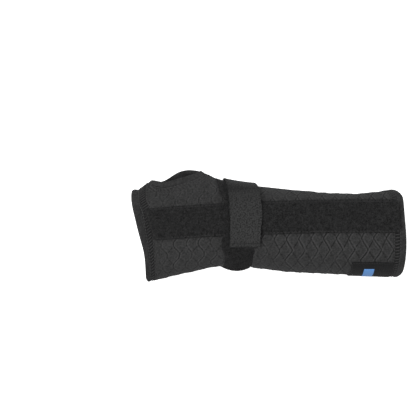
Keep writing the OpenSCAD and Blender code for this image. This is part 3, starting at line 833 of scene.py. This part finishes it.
palmar = panel("palmar_knit", lambda x: seam_r - 360 + seam_half_gap + notch_at(x),
               lambda x: seam_u - seam_half_gap + 0 * x, 112.0, ["palmar_panel"], 0.0)
dorsal = panel("dorsal_knit", lambda x: seam_u + seam_half_gap + 0 * x,
               lambda x: seam_r - seam_half_gap - notch_at(x), 86.0, ["dorsal_panel"], 3.0)


# %% [markdown]
# ## Hems
# A hem is the knit folded over its own edge and sewn down, so it is thicker than the wall and its
# edge is a smooth roll. A strip with a rounded rim, bent into a ring, is that fold. The strip is
# cut straight, its rim is bevelled, and its two ends are welded once it has been laid.


# %% Folded strips
hem_thick = wall_t + 2 * hem_proud
hem_cell, roll, small_round = 1.1, 2.1, 0.5


def folded_strip(length, width, rim_x):
    """A strip whose edge at rim_x is rolled over; the other edge has just a small round."""
    bm = slab(width, length, hem_thick, 1000)
    bmesh.ops.delete(bm, geom=[f for f in bm.faces if abs(f.normal.y) > 0.9], context="FACES_ONLY")
    divided(bm, edges_along(bm, 1, 1), round(length / hem_cell) - 1)
    for edge_x, size, segments in ((rim_x, roll, 6), (width - rim_x, small_round, 2)):
        edges = [e for e in edges_along(bm, 1, 0.1) if all(abs(v.co.x - edge_x) < 0.01 for v in e.verts)]
        rounded(bm, edges, size, segments)
    divided(bm, edges_along(bm, 0, 1.5), 2)
    return moved(bm, 0, 0, -wall_t - hem_proud)


def pucker(flat):
    """Shallow dimples where the seam pulls the fold in, on the face only."""
    x, y, h = flat.T
    return mottle(x * 0.7, y, 2.6, 9) * 0.14 + mottle(x, y, 9.0, 10) * 0.15


# The relief number of the hems follows their dimples: painted shade in each dimple and a painted highlight
# between them.
def pucker_marks(flat):
    return 0.5 + pucker(flat)


def eased(flat, from_seam, inward, reach=3.2, stand=0.12):
    """The fold slopes down to its sewn edge, which touches the panel beside it."""
    x, y, h = flat.T
    face = mix(stand / hem_proud, 1, ramp(from_seam, 0, reach))
    h = np.where(h > 0, h * face + pucker(flat) * ramp(h, -1, 0.5), h)
    return np.stack([x + inward * edge_gap * ramp(from_seam, 2.0, 0), y, h], -1)


# %% Hems of the two open ends
ring_start, weld_gap = -150.0, 0.05


def ring_length(x):
    """Length round the sleeve at a place along the arm."""
    return float(round_at(x, ring_start + 360) - round_at(x, ring_start))


def on_ring(flat, length):
    """A strip that goes once round the sleeve, from the middle of the back."""
    x, y, h = flat.T
    first, last = round_at(x, ring_start), round_at(x, ring_start + 360)
    return at_turn(x, turn_at(x, mix(last, first, y / length)), h)


def hem(name, start_x, rim_x, stands_for):
    length = ring_length(start_x)
    inner_x = start_x + hem_w - rim_x
    sign = 1 if rim_x else -1

    def place(flat):
        return on_ring(eased(flat, sign * (flat[:, 0] - inner_x), -sign), length)

    fold = moved(folded_strip(length, hem_w, rim_x), start_x, 0, 0)
    return finish_piece(name, fold, place, hem_knit, "sleeve", stands_for, pucker_marks, weld_gap)


hand_hem = hem("hand_hem_fold", -half_l, 0.0, ["hand_hem"])
forearm_hem = hem("forearm_hem_fold", half_l - hem_w, hem_w, ["forearm_hem"])


# %% Hem of the thumb hole
def lengths_along(line):
    """The length run at each point of a line."""
    return np.concatenate([[0], np.cumsum(np.linalg.norm(np.diff(line, axis=0), axis=1))])


hole_angles = np.linspace(0, 2 * np.pi, 721)
hole_lengths = lengths_along(at_turn(*hole_at(hole_angles, 0.5), 0.0))
hole_girth = float(hole_lengths[-1])


def on_hole(flat):
    """A strip round the thumb hole: out from its edge, along it, height."""
    out, along, h = flat.T
    x, turn = hole_at(np.interp(hole_girth - along, hole_lengths, hole_angles), out / thumb_hem_w)
    return at_turn(x, turn, h)


def thumb_place(flat):
    return on_hole(eased(flat, thumb_hem_w - flat[:, 0], 1, reach=6.0, stand=0.05))


thumb_hem = finish_piece("thumb_hem_fold", folded_strip(hole_girth, thumb_hem_w, 0.0), thumb_place, hem_knit,
                         "sleeve", ["thumb_hem"], pucker_marks, weld_gap)
print("round the thumb hole:", round(hole_girth), "mm")

# %% Flat sizes of the panels and the hems
for piece in (palmar, dorsal):
    sewn_sheet(piece)
hem_cut = 10.2
for piece in (hand_hem, forearm_hem, thumb_hem):
    sewn_sheet(piece, hem_cut * mm)

# %% [markdown]
# ## Stitches
# Hundreds of stitches hold the splint together. Each is one small capsule of thread, thick in the
# middle and sunk at both ends. An Array modifier makes the copies, and then each copy is turned and
# stretched between its own two needle holes in the flat pattern, before the whole row is laid.


# %% Threads between needle holes
def copies(bm, count, name):
    """One small shape many times over, from an Array modifier that leaves them in one place."""
    source = bpy.data.objects.new(name, mesh_of(bm, name))
    bpy.context.collection.objects.link(source)
    array = source.modifiers.new("copies", "ARRAY")
    array.count = count
    array.use_relative_offset = False
    shown = source.evaluated_get(bpy.context.evaluated_depsgraph_get())
    mesh = bpy.data.meshes.new_from_object(shown)
    bpy.data.objects.remove(source)
    return mesh


def sew(name, holes, place, height, radius=0.24, body="sleeve"):
    """Stitches between pairs of needle holes, given as (x, y, x, y) in the flat pattern."""
    holes = np.asarray(holes, float)
    bm = bmesh.new()
    bmesh.ops.create_uvsphere(bm, u_segments=6, v_segments=6, radius=1.0)
    bmesh.ops.rotate(bm, verts=bm.verts, matrix=Matrix.Rotation(math.pi / 2, 3, "Y"))
    mesh = copies(bm, len(holes), name)
    co = points_of(mesh).reshape(len(holes), -1, 3)
    start, end = holes[:, None, :2], holes[:, None, 2:]
    reach = end - start
    side = np.stack([-reach[..., 1], reach[..., 0]], -1) / np.linalg.norm(reach, axis=-1, keepdims=True)
    full = np.sign(co[..., :1]) * abs(co[..., :1]) ** 0.8
    spots = (start + end) / 2 + reach * 0.5 * full + side * co[..., 1:2] * radius
    lift = height + radius * (co[..., 2:] * 0.9 + 0.5 - 1.1 * full**4)
    flat = np.concatenate([spots, lift], -1).reshape(-1, 3)
    mesh.vertices.foreach_set("co", flat.astype(np.float32).ravel())
    return finish_piece(name, mesh, place, black_thread, body)


def row(x, start, end, pitch, gap=0.5):
    """Holes of a straight row across the pattern at x."""
    count = max(1, round((end - start) / pitch))
    at = start + (end - start) * np.arange(count) / count
    reach = (end - start) / count - gap
    return [(x, y, x, y + reach) for y in at]


def lengthwise(y, xs, reach):
    """Holes of a straight row along the pattern at y."""
    return [(x, y, x + reach, y) for x in xs]


# %% Cover stitch along the hems
cover_rows, looper_r, looper_slant = (0.5, 5.7), 0.5, 0.2
thumb_rows, thumb_looper_r, thumb_slant = (thumb_hem_w + 1.2, thumb_hem_w + 4.6), 0.36, 0.5
stitch_pitch, needle_gap, web_clear = 2.8, 0.3, 7.5


def cover_holes(rows, length, slant):
    """Two needle rows, and between them the looper's thread, as thick as the cloth's own ribs."""
    holes = [hole for x in rows for hole in row(x, 0, length, stitch_pitch, needle_gap)]
    count = round(length / stitch_pitch)
    low, high = min(rows) + needle_gap, max(rows) - needle_gap
    return holes + [(low, y, high, y + slant * stitch_pitch) for y in length * np.arange(count) / count]


def cover_hem(name, start_x, inward):
    length = ring_length(start_x)

    def place(flat):
        out = inward * (flat[:, 0] - start_x)
        turn = ring_start + 360 * (1 - flat[:, 1] / length)
        sewn = flat.copy()
        sewn[:, 0] = start_x + inward * drawn_off(out, off_web(turn) * (inward > 0))
        return on_ring(sewn, length)

    holes = cover_holes([start_x + inward * out for out in cover_rows], length, looper_slant)
    sew(name, holes, place, 0.0, looper_r)


cover_hem("hand_hem_stitches", -half_l + hem_w, 1)
cover_hem("forearm_hem_stitches", half_l - hem_w, -1)


def clear_of_web(hole):
    """The web is too narrow for stitches between the thumb hole and the hand hem."""
    return on_hole(np.array([[hole[0], hole[1], 0.0]]))[0, 0] > -half_l + hem_w + web_clear


holes = [hole for hole in cover_holes(thumb_rows, hole_girth, thumb_slant) if clear_of_web(hole)]
sew("thumb_hem_stitches", holes, on_hole, 0.0, thumb_looper_r)
print(len(holes), "stitches round the thumb")

# %% [markdown]
# ## Seam tapes
# The two panels meet edge to edge, and a flat tape covers the join on the outside. A zigzag of
# thread holds it. It is a plain slab with softened edges, narrow enough to follow the curve.

# %% Seam tapes with their zigzag
seam_w, seam_t = 6.0, 0.6
tape_cell, tape_round, narrowest_sheet = 1.2, 0.18, 10
zigzag_pitch, zigzag_half, zigzag_inset = 3.0, 2.2, 0.5


def tape(name, from_x, to_x, turn, width, thick, stands_for):
    """A flat tape along one turn of the tube, with its edges softened."""
    bm = slab(to_x - from_x, width, thick, tape_cell)
    sharp = [e for e in bm.edges if len(e.link_faces) == 2 and e.calc_face_angle(0) > 1]
    rounded(bm, [e for e in sharp if e.calc_length() > 0.9], tape_round, 2)
    moved(bm, from_x, -width / 2, face_gap)

    def place(flat):
        x, y, h = flat.T
        return on_sleeve(np.stack([x, y - round_at(x, turn), h], -1))

    piece = finish_piece(name, bm, place, black_tape, "sleeve", stands_for)
    if width > narrowest_sheet:
        sewn_sheet(piece)
    return place


def zigzag(name, place, from_x, to_x):
    count = max(1, round((to_x - from_x) / zigzag_pitch))
    step = (to_x - from_x) / count / 2
    holes = []
    for x in from_x + (to_x - from_x) * np.arange(count) / count:
        middle, end = x + step, x + 2 * step
        holes += [(x, -zigzag_half, middle, zigzag_half), (middle, zigzag_half, end, -zigzag_half)]
    sew(name, holes, place, face_gap + seam_t)


web_x, palm_x = (hole_at(angle, 1 + edge_gap / thumb_hem_w)[0] for angle in (np.pi, 0))
under_web, clear_of_hem = 0.6, 3
for name, from_x, to_x, turn in (("ulnar_seam", body_from, body_to, seam_u),
                                 ("radial_seam_hand", body_from, web_x + under_web, seam_r),
                                 ("radial_seam_forearm", palm_x + clear_of_hem, body_to, seam_r)):
    place = tape(name + "_tape", from_x, to_x, turn, seam_w, seam_t, [name])
    zigzag(name + "_zigzag", place, from_x + zigzag_inset, to_x - zigzag_inset)

# %% [markdown]
# ## Palm pocket
# The stay is held down by a wide strip of loop pile, sewn along both edges and across its end at
# the hand. It stands up over the bar like a low bridge and ends open at the forearm. The strip is
# a slab whose two faces take two different heights, so the bar has its room underneath.

# %% Heights across the pocket
pocket_from, pocket_to, pocket_half = -107.0, 111.7, 15.4
cavity_half, pocket_in, pocket_top = 11.2, 3.95, 5.15
pocket_edge_t, pocket_slant, slant_fade, pocket_corner = 0.75, 0.2, 30.0, 4.5
pocket_cell, tuft_rise = 0.75, 0.28


def pocket_rise(x, y):
    """1 on top of the pocket and 0 on its sewn edges and its sewn end."""
    from_side = 1 - ramp(abs(y), cavity_half - 0.2, cavity_half + 2.6)
    return from_side * ramp(x, pocket_from + 0.5, pocket_from + 8)


def pocket_shift(x, y):
    """The slanted end at the hand, with its rounded corners."""
    past = np.clip((abs(y) - pocket_half + pocket_corner) / pocket_corner, 0, 1)
    corner = pocket_corner * (1 - np.sqrt(1 - np.minimum(past, 0.999) ** 2))
    return (corner - pocket_slant * y) * np.clip(1 - (x - pocket_from) / slant_fade, 0, 1)


def tufts(flat, seed):
    """Uneven clumps of pile, between -1 and 1."""
    x, y, h = flat.T
    return mottle(x, y, 1.15, seed) * 0.6 + mottle(x, y, 2.3, seed + 1) * 0.4


def hollow(h, under, top):
    """Heights from 0 to 1 run from the under face to the top; more than 1 stands above it."""
    return mix(under, top, np.minimum(h, 1)) + np.maximum(h - 1, 0)


# %% The pocket's strip
def on_pocket(flat):
    """Pattern spots to spots on the pocket, whose own thickness is heights 0 to 1."""
    x, y, h = flat.T
    top = face_gap + pocket_edge_t + (pocket_top - face_gap - pocket_edge_t) * pocket_rise(x, y)
    roof = (1 - ramp(abs(y), cavity_half, cavity_half + 0.9)) * ramp(x, pocket_from + 4.5, pocket_from + 6)
    under = face_gap + (pocket_in - face_gap) * roof
    return on_sleeve(np.stack([x + pocket_shift(x, y), y, hollow(h, under, top)], -1))


def pocket_place(flat):
    lump = tufts(flat, 20) * tuft_rise * (flat[:, 2] > 0.5)
    return on_pocket(raised(flat, np.maximum(lump, 0)))


strip = middle_slab(pocket_from, pocket_to - pocket_from, 2 * pocket_half, 1.0, pocket_cell)
# The pocket's relief number follows the raised clumps of pile: a painted highlight on the clumps and painted
# shade between them.
pocket = finish_piece("palm_pocket_strip", strip, pocket_place, pocket_pile, "sleeve",
                      ["palm_pocket_front"], lambda flat: 0.5 + 0.5 * tufts(flat, 20))

# %% Tape under the stay, and the stitching of the pocket
stay_half_w, stay_end, pocket_tape_t = 10.5, pocket_from + 9, 0.7
tape("palm_pocket_tape", stay_end, pocket_to, stay_turn, 2 * stay_half_w, pocket_tape_t, ["palm_pocket_back"])
seam_in, side_stitches, stitch_l = 1.4, 68, 2.5
xs = pocket_from + 3 + (pocket_to - pocket_from - 6) * np.arange(side_stitches) / side_stitches
holes = [hole for side in (-1, 1) for hole in lengthwise(side * (pocket_half - seam_in), xs, stitch_l)]
holes += row(pocket_from + 1.6, -pocket_half + 4, pocket_half - 4, 3.0, 0.6)
sew("palm_pocket_stitches", holes, on_pocket, 0.92, radius=0.22)

# %% [markdown]
# ## Loops of the pile
# From close by, loop pile is not a rough surface but thousands of little arches of yarn. One arch
# is spun from a small square of four points; copies of it are scattered evenly over the strip and
# each is turned and sized a little differently.


# %% One loop
yarn_r, loop_r, sunk = 0.13, 0.42, 0.06


def yarn_arch():
    """Half a ring of yarn, standing on its two feet."""
    bm = bmesh.new()
    yarn = bmesh.ops.create_circle(bm, segments=4, radius=yarn_r, matrix=Matrix.Translation((loop_r, 0, 0)))
    bmesh.ops.spin(bm, geom=yarn["verts"] + bm.edges[:], cent=(0, 0, 0), axis=(0, -1, 0), dvec=(0, 0, 0),
                   angle=math.pi, steps=5, use_merge=False)
    bmesh.ops.recalc_face_normals(bm, faces=bm.faces)
    return bm


# %% Scatter of loops
scatter, smallest, largest = 0.45, 0.75, 1.25


def pile(name, along, half, pitch, place, height, finish, body="sleeve", seed=1, stand=0.8):
    """Little arches of yarn, one to each square of the pitch, stand times as high as they are wide."""
    columns, lines = round((along[1] - along[0]) / pitch), round(2 * half / pitch)
    count = columns * lines
    mesh = copies(yarn_arch(), count, name)
    co = points_of(mesh).reshape(count, -1, 3)
    rng = np.random.default_rng(seed)
    spots = np.stack(np.meshgrid(np.arange(columns) + 0.5, np.arange(lines) + 0.5, indexing="ij"), -1)
    spots = spots.reshape(-1, 2) * pitch + rng.uniform(-scatter, scatter, (count, 2)) * pitch
    turn = rng.uniform(0, math.pi, (count, 1))
    size = rng.uniform(smallest, largest, (count, 1))
    c, s = np.cos(turn) * size, np.sin(turn) * size
    x = along[0] + spots[:, :1] + co[..., 0] * c - co[..., 1] * s
    y = -half + spots[:, 1:] + co[..., 0] * s + co[..., 1] * c
    h = height + co[..., 2] * size * stand - sunk
    flat = np.stack([x, y, h], -1).reshape(-1, 3)
    mesh.vertices.foreach_set("co", flat.astype(np.float32).ravel())
    clump = 0.5 + 0.5 * mottle(spots[:, 0], spots[:, 1], 1.7, seed + 1)
    bright = np.repeat(clump * 0.65 + rng.uniform(0.0, 0.5, count), co.shape[1])
    return finish_piece(name, mesh, place, finish, body, marks=lambda flat: bright)


# %% Pile over the pocket, in six pieces
pile_from, pile_l, pile_pitch = pocket_from + 2, 36.2, 1.05
for i in range(6):
    along = pile_from + pile_l * i, min(pile_from + pile_l * (i + 1), pocket_to - 0.6)
    pile(f"palm_pocket_pile_{i}", along, pocket_half - 1.9, pile_pitch, on_pocket, 1.0, pocket_pile,
         seed=30 + i)
sewn_sheet(pocket)

# %% [markdown]
# ## Springs along the back
# Two slim springs lie in tape channels under the back of the hand. The springs and their crimped
# caps are the CAD's own solids, which only need their metal. The channels are woven tape, sewn
# down on both sides, so each is a slab that rises in the middle, like a small pocket.

# %% Channels for the springs
channel_mid, channel_l, channel_room, channel_shut = 2.0, 150.0, 2.0, 4.0
channel_in_w, channel_edge_w, channel_in, channel_top, channel_edge_t = 3.75, 6.75, 1.95, 2.75, 0.6
channel_from = channel_mid - channel_l / 2 - channel_room
channel_to = channel_mid + channel_l / 2 + channel_room
channel_cell, channel_pitch, channel_stitch = 0.8, 2.8, 2.2


def channel_place(turn):
    """Pattern spots to spots on a channel, whose own thickness is heights 0 to 1."""

    def place(flat):
        x, y, h = flat.T
        ends = ramp(x, channel_from - 2.5, channel_from) * ramp(-x, -channel_to - 2.5, -channel_to)
        rise = (1 - ramp(abs(y), channel_in_w + 0.1, channel_in_w + 1.2)) * ends
        roof = (1 - ramp(abs(y), channel_in_w - 0.1, channel_in_w + 0.3)) * ends
        under = face_gap + (channel_in - face_gap) * roof
        top = face_gap + channel_edge_t + (channel_top - face_gap - channel_edge_t) * rise
        return on_sleeve(np.stack([x, y - round_at(x, turn), hollow(h, under, top)], -1))

    return place


for side, turn in (("radial", 249.0), ("ulnar", 171.0)):
    place = channel_place(turn)
    length = channel_to - channel_from + 2 * channel_shut
    woven = middle_slab(channel_from - channel_shut, length, 2 * channel_edge_w, 1.0, channel_cell)
    channel = finish_piece(f"back_channel_{side}_tape", woven, place, black_tape, "sleeve",
                           ["back_channel_" + side])
    sewn_sheet(channel)
    xs = np.arange(channel_from - 3, channel_to + 1, channel_pitch)
    holes = []
    for edge in (-1, 1):
        holes += lengthwise(edge * (channel_edge_w - 1.0), xs, channel_stitch)
    for x in (channel_from - channel_pitch, channel_to + channel_pitch):
        holes += row(x, -channel_edge_w + 1.4, channel_edge_w - 1.4, channel_stitch)
    sew(f"back_channel_{side}_stitches", holes, place, 1.0)

# %% Metal and plastic for the solids
for nodes, finish in ((["palm_stay"], aluminium),
                      (["palm_stay_tip_hand", "palm_stay_tip_forearm"], tip_plastic),
                      (["back_stay_radial", "back_stay_ulnar", "back_stay_tips"], spring_steel)):
    for node in nodes:
        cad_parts[node].data.materials.clear()
        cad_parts[node].data.materials.append(finish)
        print(node, "is", finish.name)

# %% [markdown]
# ## The strap
# The strap starts at a sewn root on the thumb side, crosses the palm, goes round the little-finger
# side and under the back, and comes up over the thumb side again to close on itself. Its body is
# brushed loop cloth, and its free end is a ribbed elastic tab with a hook patch under it. It is cut
# flat like the rest, but laid along its own line, which climbs over the pocket and the channels.

# %% The strap's line
root_turn, peel_turn, end_turn = -47.0, 307.0, 435.0
strap_w, strap_t, strap_tilt, strap_pitch = 28.0, 1.0, 3.5, 8.0
band_low, tab_low, hook_t = 0.35, 1.7, 0.6
bridge_out, bridge_in = 26.0, 12.4
tip_narrow, tip_back = 0.06, 1.8


def on_strap(turn, across, off):
    """A spot of the strap: the turn round the sleeve, the distance across, the height."""
    middle = on_tube(strap_x, turn, 0.0)[..., 2]
    low, high = back_z(strap_x), palm_z(strap_x)
    x = strap_x + strap_tilt * (2 * middle - low - high) / (high - low)
    taken_in = ramp(turn, 385, 436)
    x = x + strap_pitch * (turn - root_turn) / 360
    x = x + across * (1 - tip_narrow * taken_in) - tip_back * taken_in
    under = on_tube(x, turn, 0.0)
    over_palm = pocket_top * np.clip((bridge_out - abs(under[..., 1])) / (bridge_out - bridge_in), 0, 1)
    over_palm = np.where(under[..., 2] < (palm_z(x) + back_z(x)) / 2, 0, over_palm)
    t = np.mod(turn, 360)
    over_back = channel_top * np.minimum(ramp(t, 130, 147), ramp(t, 285, 268))
    return on_tube(x, turn, off + over_palm + over_back)


strap_turns = np.linspace(root_turn - 3, end_turn + 12, 1001)
strap_lengths = lengths_along(on_strap(strap_turns, 0.0, 1.0))


def length_at(turn):
    """Length along the strap at a turn."""
    return float(np.interp(turn, strap_turns, strap_lengths))


def turn_along(flat):
    """The turns that spots of the strap's pattern come to."""
    return np.interp(flat[:, 0], strap_lengths, strap_turns)


def strap_place(height_at):
    """Patterns with their length along the strap, their width across it, and a height."""

    def place(flat):
        turn = turn_along(flat)
        return on_strap(turn, flat[:, 1], flat[:, 2] + height_at(turn))

    return place


def band_height(turn):
    return mix(band_low, tab_low, ramp(turn, 283, 303))


# %% The band's curl over the little-finger edge
curl_narrow, crown, sides_down, outer_down = 0.08, 3.3, 2.1, 0.6
shift_under_tab, shift_at_edge = 5.0, 2.5


def crowned(place):
    """The band curls over the narrow edge, so its middle stands off and its sides hug it."""

    def bent(flat):
        turn = turn_along(flat)
        curled = narrow_edge(turn)
        inner = 1 - (2 * flat[:, 1] / strap_w) ** 2
        under_tab = ramp(turn, -24, 2) * (1 - ramp(turn, 40, 75))
        drawn_in = -curl_narrow * curled * flat[:, 1]
        drawn_in += shift_under_tab * under_tab + shift_at_edge * curled
        rise = (crown * inner - sides_down) * curled
        rise = rise - outer_down * np.maximum(flat[:, 2] - 0.5, 0) * curled * (1 - inner)
        return place(raised(flat, rise, across=drawn_in))

    return bent


# %% The free end's height
def tab_height(turn):
    """The tab lies on the band's end first, and then on the band with its hooks between."""
    over_band = (strap_t + 0.05) * (1 - ramp(turn, peel_turn + 2, peel_turn + 11))
    return tab_low + over_band + (hook_t + face_gap / 2) * ramp(turn - peel_turn, 8, 38)


print("the strap is cut", round(length_at(end_turn + 5) - length_at(root_turn)), "by", round(strap_w), "mm")


# %% Band of loop cloth
def webbing(name, first, last, width, thick, cell, height_at, finish, body, stands_for, texture, mark):
    """A length of strap from one turn to another, with softened edges and a surface of its own."""
    cut = middle_slab(length_at(first), length_at(last) - length_at(first), width, thick, cell)
    lay = crowned(strap_place(height_at)) if body == "sleeve" else strap_place(height_at)

    def place(flat):
        puff = texture(flat) * (flat[:, 2] > thick * 0.5)
        edge = 1 - 0.5 * (1 - ramp(width / 2 - abs(flat[:, 1]), 0, 0.6))
        out = flat.copy()
        out[:, 2] = thick / 2 + (flat[:, 2] - thick / 2) * edge + puff
        return lay(out)

    return finish_piece(name, cut, place, finish, body, stands_for, mark)


band_cell, band_tuft = 0.8, 0.25
# The band's relief number follows its raised clumps of pile: a painted highlight on the clumps and painted
# shade between them.
band = webbing("strap_band_loop", root_turn, peel_turn, strap_w, strap_t, band_cell, band_height, strap_pile,
               "sleeve", ["strap_band"],
               lambda flat: np.maximum(tufts(flat, 40), 0) * band_tuft,
               lambda flat: 0.5 + 0.5 * tufts(flat, 40))
on_band = crowned(strap_place(band_height))
band_pile_half, tab_from = strap_w / 2 - 0.8, 84.0


def band_pile(name, first, last, pitch, seed, stand=0.8):
    along = length_at(first), length_at(last)
    pile("strap_band_pile_" + name, along, band_pile_half, pitch, on_band, strap_t, strap_pile,
         seed=seed, stand=stand)


pile_turns = (tab_from, 141.0, 198.0, 255.0, peel_turn - 4)
for i, (first, last) in enumerate(zip(pile_turns, pile_turns[1:])):
    band_pile(str(i), first, last, pile_pitch, 50 + i)
band_pile("under_tab", 8, tab_from, 1.15, 60, stand=0.4)
sewn_sheet(band)

# %% Ribbed elastic tab
rib, rib_rise, selvage_rise = 1.5, 0.16, 0.12
tab_first, tab_cell = peel_turn - 9, 0.5


def cords(flat):
    """The rubber cords of the elastic, which run along the tab: 1 on each, 0 between them."""
    return abs(np.sin(np.pi * flat[:, 1] / rib))


def ribs(flat):
    """The cords, and a firm selvage on each edge."""
    return cords(flat) * rib_rise + selvage_rise * ramp(abs(flat[:, 1]), strap_w / 2 - 1.6, strap_w / 2 - 1.0)


def tab_marks(flat):
    """Painted shade over the thumb side, which turns away from the light, so the palm part is lighter;
    painted shade between the cords and a painted highlight on them; darker on the selvages.
    """
    side = ramp(abs(flat[:, 1]), strap_w / 2 - 0.9, strap_w / 2)
    return 0.5 - 0.5 * (1 - ramp(turn_along(flat), 343, 349)) + 0.16 * (cords(flat) - 0.6) - 0.3 * side


tab = webbing("strap_tab", tab_first, end_turn, strap_w, strap_t - 0.1, tab_cell, tab_height, strap_elastic,
              None, ["strap_free_end"], ribs, tab_marks)
sewn_sheet(tab)
on_tab = strap_place(tab_height)
peel_line = on_tab(np.array([[length_at(peel_turn + past), 0.0, 0.5] for past in (1.5, 6)]))
peel_start, peel_end = (peel_line + home) * mm
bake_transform(tab)

# %% Hook patch under the tab
hook_l, hook_base_t, hook_inset, hook_pitch, hook_stand = 32, 0.5, 2.3, 1.3, 0.55
hook_from = float(np.interp(length_at(end_turn) - hook_l, strap_lengths, strap_turns))


def hook_height(turn):
    return tab_low + 0 * turn


hook_base = webbing("strap_hook_base", hook_from, end_turn - 1, strap_w - 3, hook_base_t, 1.0, hook_height,
                    hook_nylon, "strap_end", ["strap_hook_patch"],
                    lambda flat: 0 * flat[:, 0], None)
on_patch = strap_place(hook_height)
along = length_at(hook_from) + 1, length_at(end_turn - 1) - 1
pile("strap_hooks", along, strap_w / 2 - hook_inset, hook_pitch, lambda flat: on_patch(flat * (1, 1, -1)),
     0.0, hook_nylon, "strap_end", seed=70, stand=hook_stand)
sewn_sheet(hook_base)

# %% Folded end of the tab
fold_from, fold_to = length_at(end_turn + 0.3), length_at(end_turn + 5.0)
fold_t, fold_round = hook_t + strap_t + 0.08, 0.85
fold = slab(fold_to - fold_from, strap_w, fold_t, 1000)
rounded(fold, [e for e in edges_along(fold, 1, 1) if all(v.co.x > 0.1 for v in e.verts)], fold_round, 4)
divided(fold, edges_along(fold, 1, 1), 40)
finish_piece("strap_end_fold", moved(fold, fold_from, -strap_w / 2, 0), on_patch, strap_elastic, "strap_end",
             ["strap_end_tip"], lambda flat: 0.5 + 0 * flat[:, 0])

# %% Stitching of the strap
across_pitch, along_pitch, along_stitch = 2.6, 2.7, 2.1
end_length, root_length = length_at(end_turn), length_at(root_turn)
xs = np.arange(length_at(hook_from) + 2.5, end_length - 3, along_pitch)
holes = row(end_length - 1.6, -strap_w / 2 + 1.2, strap_w / 2 - 1.2, across_pitch)
for side in (-1, 1):
    holes += lengthwise(side * (strap_w / 2 - 1.7), xs, along_stitch)
sew("strap_tab_stitches", holes, on_tab, strap_t - 0.12, radius=0.16, body="strap_end")
holes = []
for inward in (2, 6):
    holes += row(root_length + inward, -strap_w / 2 + 1.5, strap_w / 2 - 1.5, across_pitch)
sew("strap_root_stitches", holes, on_band, strap_t)

# %% Patch that holds the strap to the back of the sleeve
anchor_mid, anchor_l, anchor_w, anchor_t = 210.0, 24.0, 24.0, 0.7
anchor_from = length_at(anchor_mid) - anchor_l / 2


def anchor_height(turn):
    return band_low + strap_t + face_gap + 0 * turn


on_anchor = strap_place(anchor_height)
patch = middle_slab(anchor_from, anchor_l, anchor_w, anchor_t, 1.0)
anchor = finish_piece("strap_anchor_patch", patch, on_anchor, black_tape, "sleeve",
                      ["strap_anchor"])
sewn_sheet(anchor)

# %% Box stitch with its cross
box_in, box_stitches = 2, 8
low, high = anchor_from + box_in, anchor_from + anchor_l - box_in
half = anchor_w / 2 - box_in
holes = row(low, -half, half, 2.5) + row(high, -half, half, 2.5)
for k in np.arange(box_stitches) / box_stitches:
    x, step, cross = mix(low, high, k), (high - low) / box_stitches - 0.5, mix(-half, half, k)
    holes += [(x, -half, x + step, -half), (x, half, x + step, half)]
    holes += [(x, cross, x + step, cross + step), (x, -cross, x + step, -cross - step)]
sew("strap_anchor_stitches", holes, on_anchor, anchor_t)

# %% [markdown]
# ## Label
# A black woven label is sewn on near the forearm hem, half round the edge on the little-finger
# side. It carries one plain straight blue stripe and nothing to read.

# %% Label
label_mid, label_l, label_t = 90.0, 38.0, 0.8
label_turns = (96.0, 135.0)
label_top = -float(round_at(label_mid, label_turns[0]))
label_h = float(round_at(label_mid, label_turns[1]) - round_at(label_mid, label_turns[0]))
label_foot = label_top - label_h


def softened_slab(along, across, thick, cell, edge):
    """A slab whose edges are bevelled before it is divided into cells."""
    bm = slab(along, across, thick, 1000)
    rounded(bm, bm.edges[:], edge, 2)
    for axis, length in ((0, along), (1, across)):
        divided(bm, edges_along(bm, axis, 0.6 * length), round(length / cell) - 1)
    return bm


patch = moved(softened_slab(label_l, label_h, label_t, 1.0, 0.25),
              label_mid - label_l / 2, label_foot, face_gap)
label = finish_piece("label_cloth", patch, on_sleeve, label_satin, "sleeve", ["label_patch"])
sewn_sheet(label)

# %% Blue stripe on the label
stripe_w, stripe_shift, stripe_inset, stripe_t, stripe_gap = 9.0, 3.0, 9.0, 0.3, 0.03
stripe_top, stripe_foot = (-float(round_at(label_mid, turn)) for turn in
                           (label_turns[0] + stripe_inset, label_turns[1] - stripe_inset))
cut_stripe = moved(softened_slab(stripe_w, stripe_top - stripe_foot, stripe_t, 1.0, 0.1),
                   label_mid - stripe_shift - stripe_w / 2, stripe_foot, face_gap + label_t + stripe_gap)
finish_piece("label_blue_stripe", cut_stripe, on_sleeve, label_blue, "sleeve", ["label_stripe"])

# %% Stitches round the label
edge, label_pitch = 0.9, 2.2
left, right = label_mid - label_l / 2 + edge, label_mid + label_l / 2 - edge
holes = [hole for x in (left, right) for hole in row(x, label_foot + edge, label_top - edge, label_pitch)]
for y in (label_top - edge, label_foot + edge):
    holes += lengthwise(y, np.arange(left + 0.5, right - 1.5, label_pitch), 1.7)
sew("label_stitches", holes, on_sleeve, face_gap + label_t, radius=0.17)
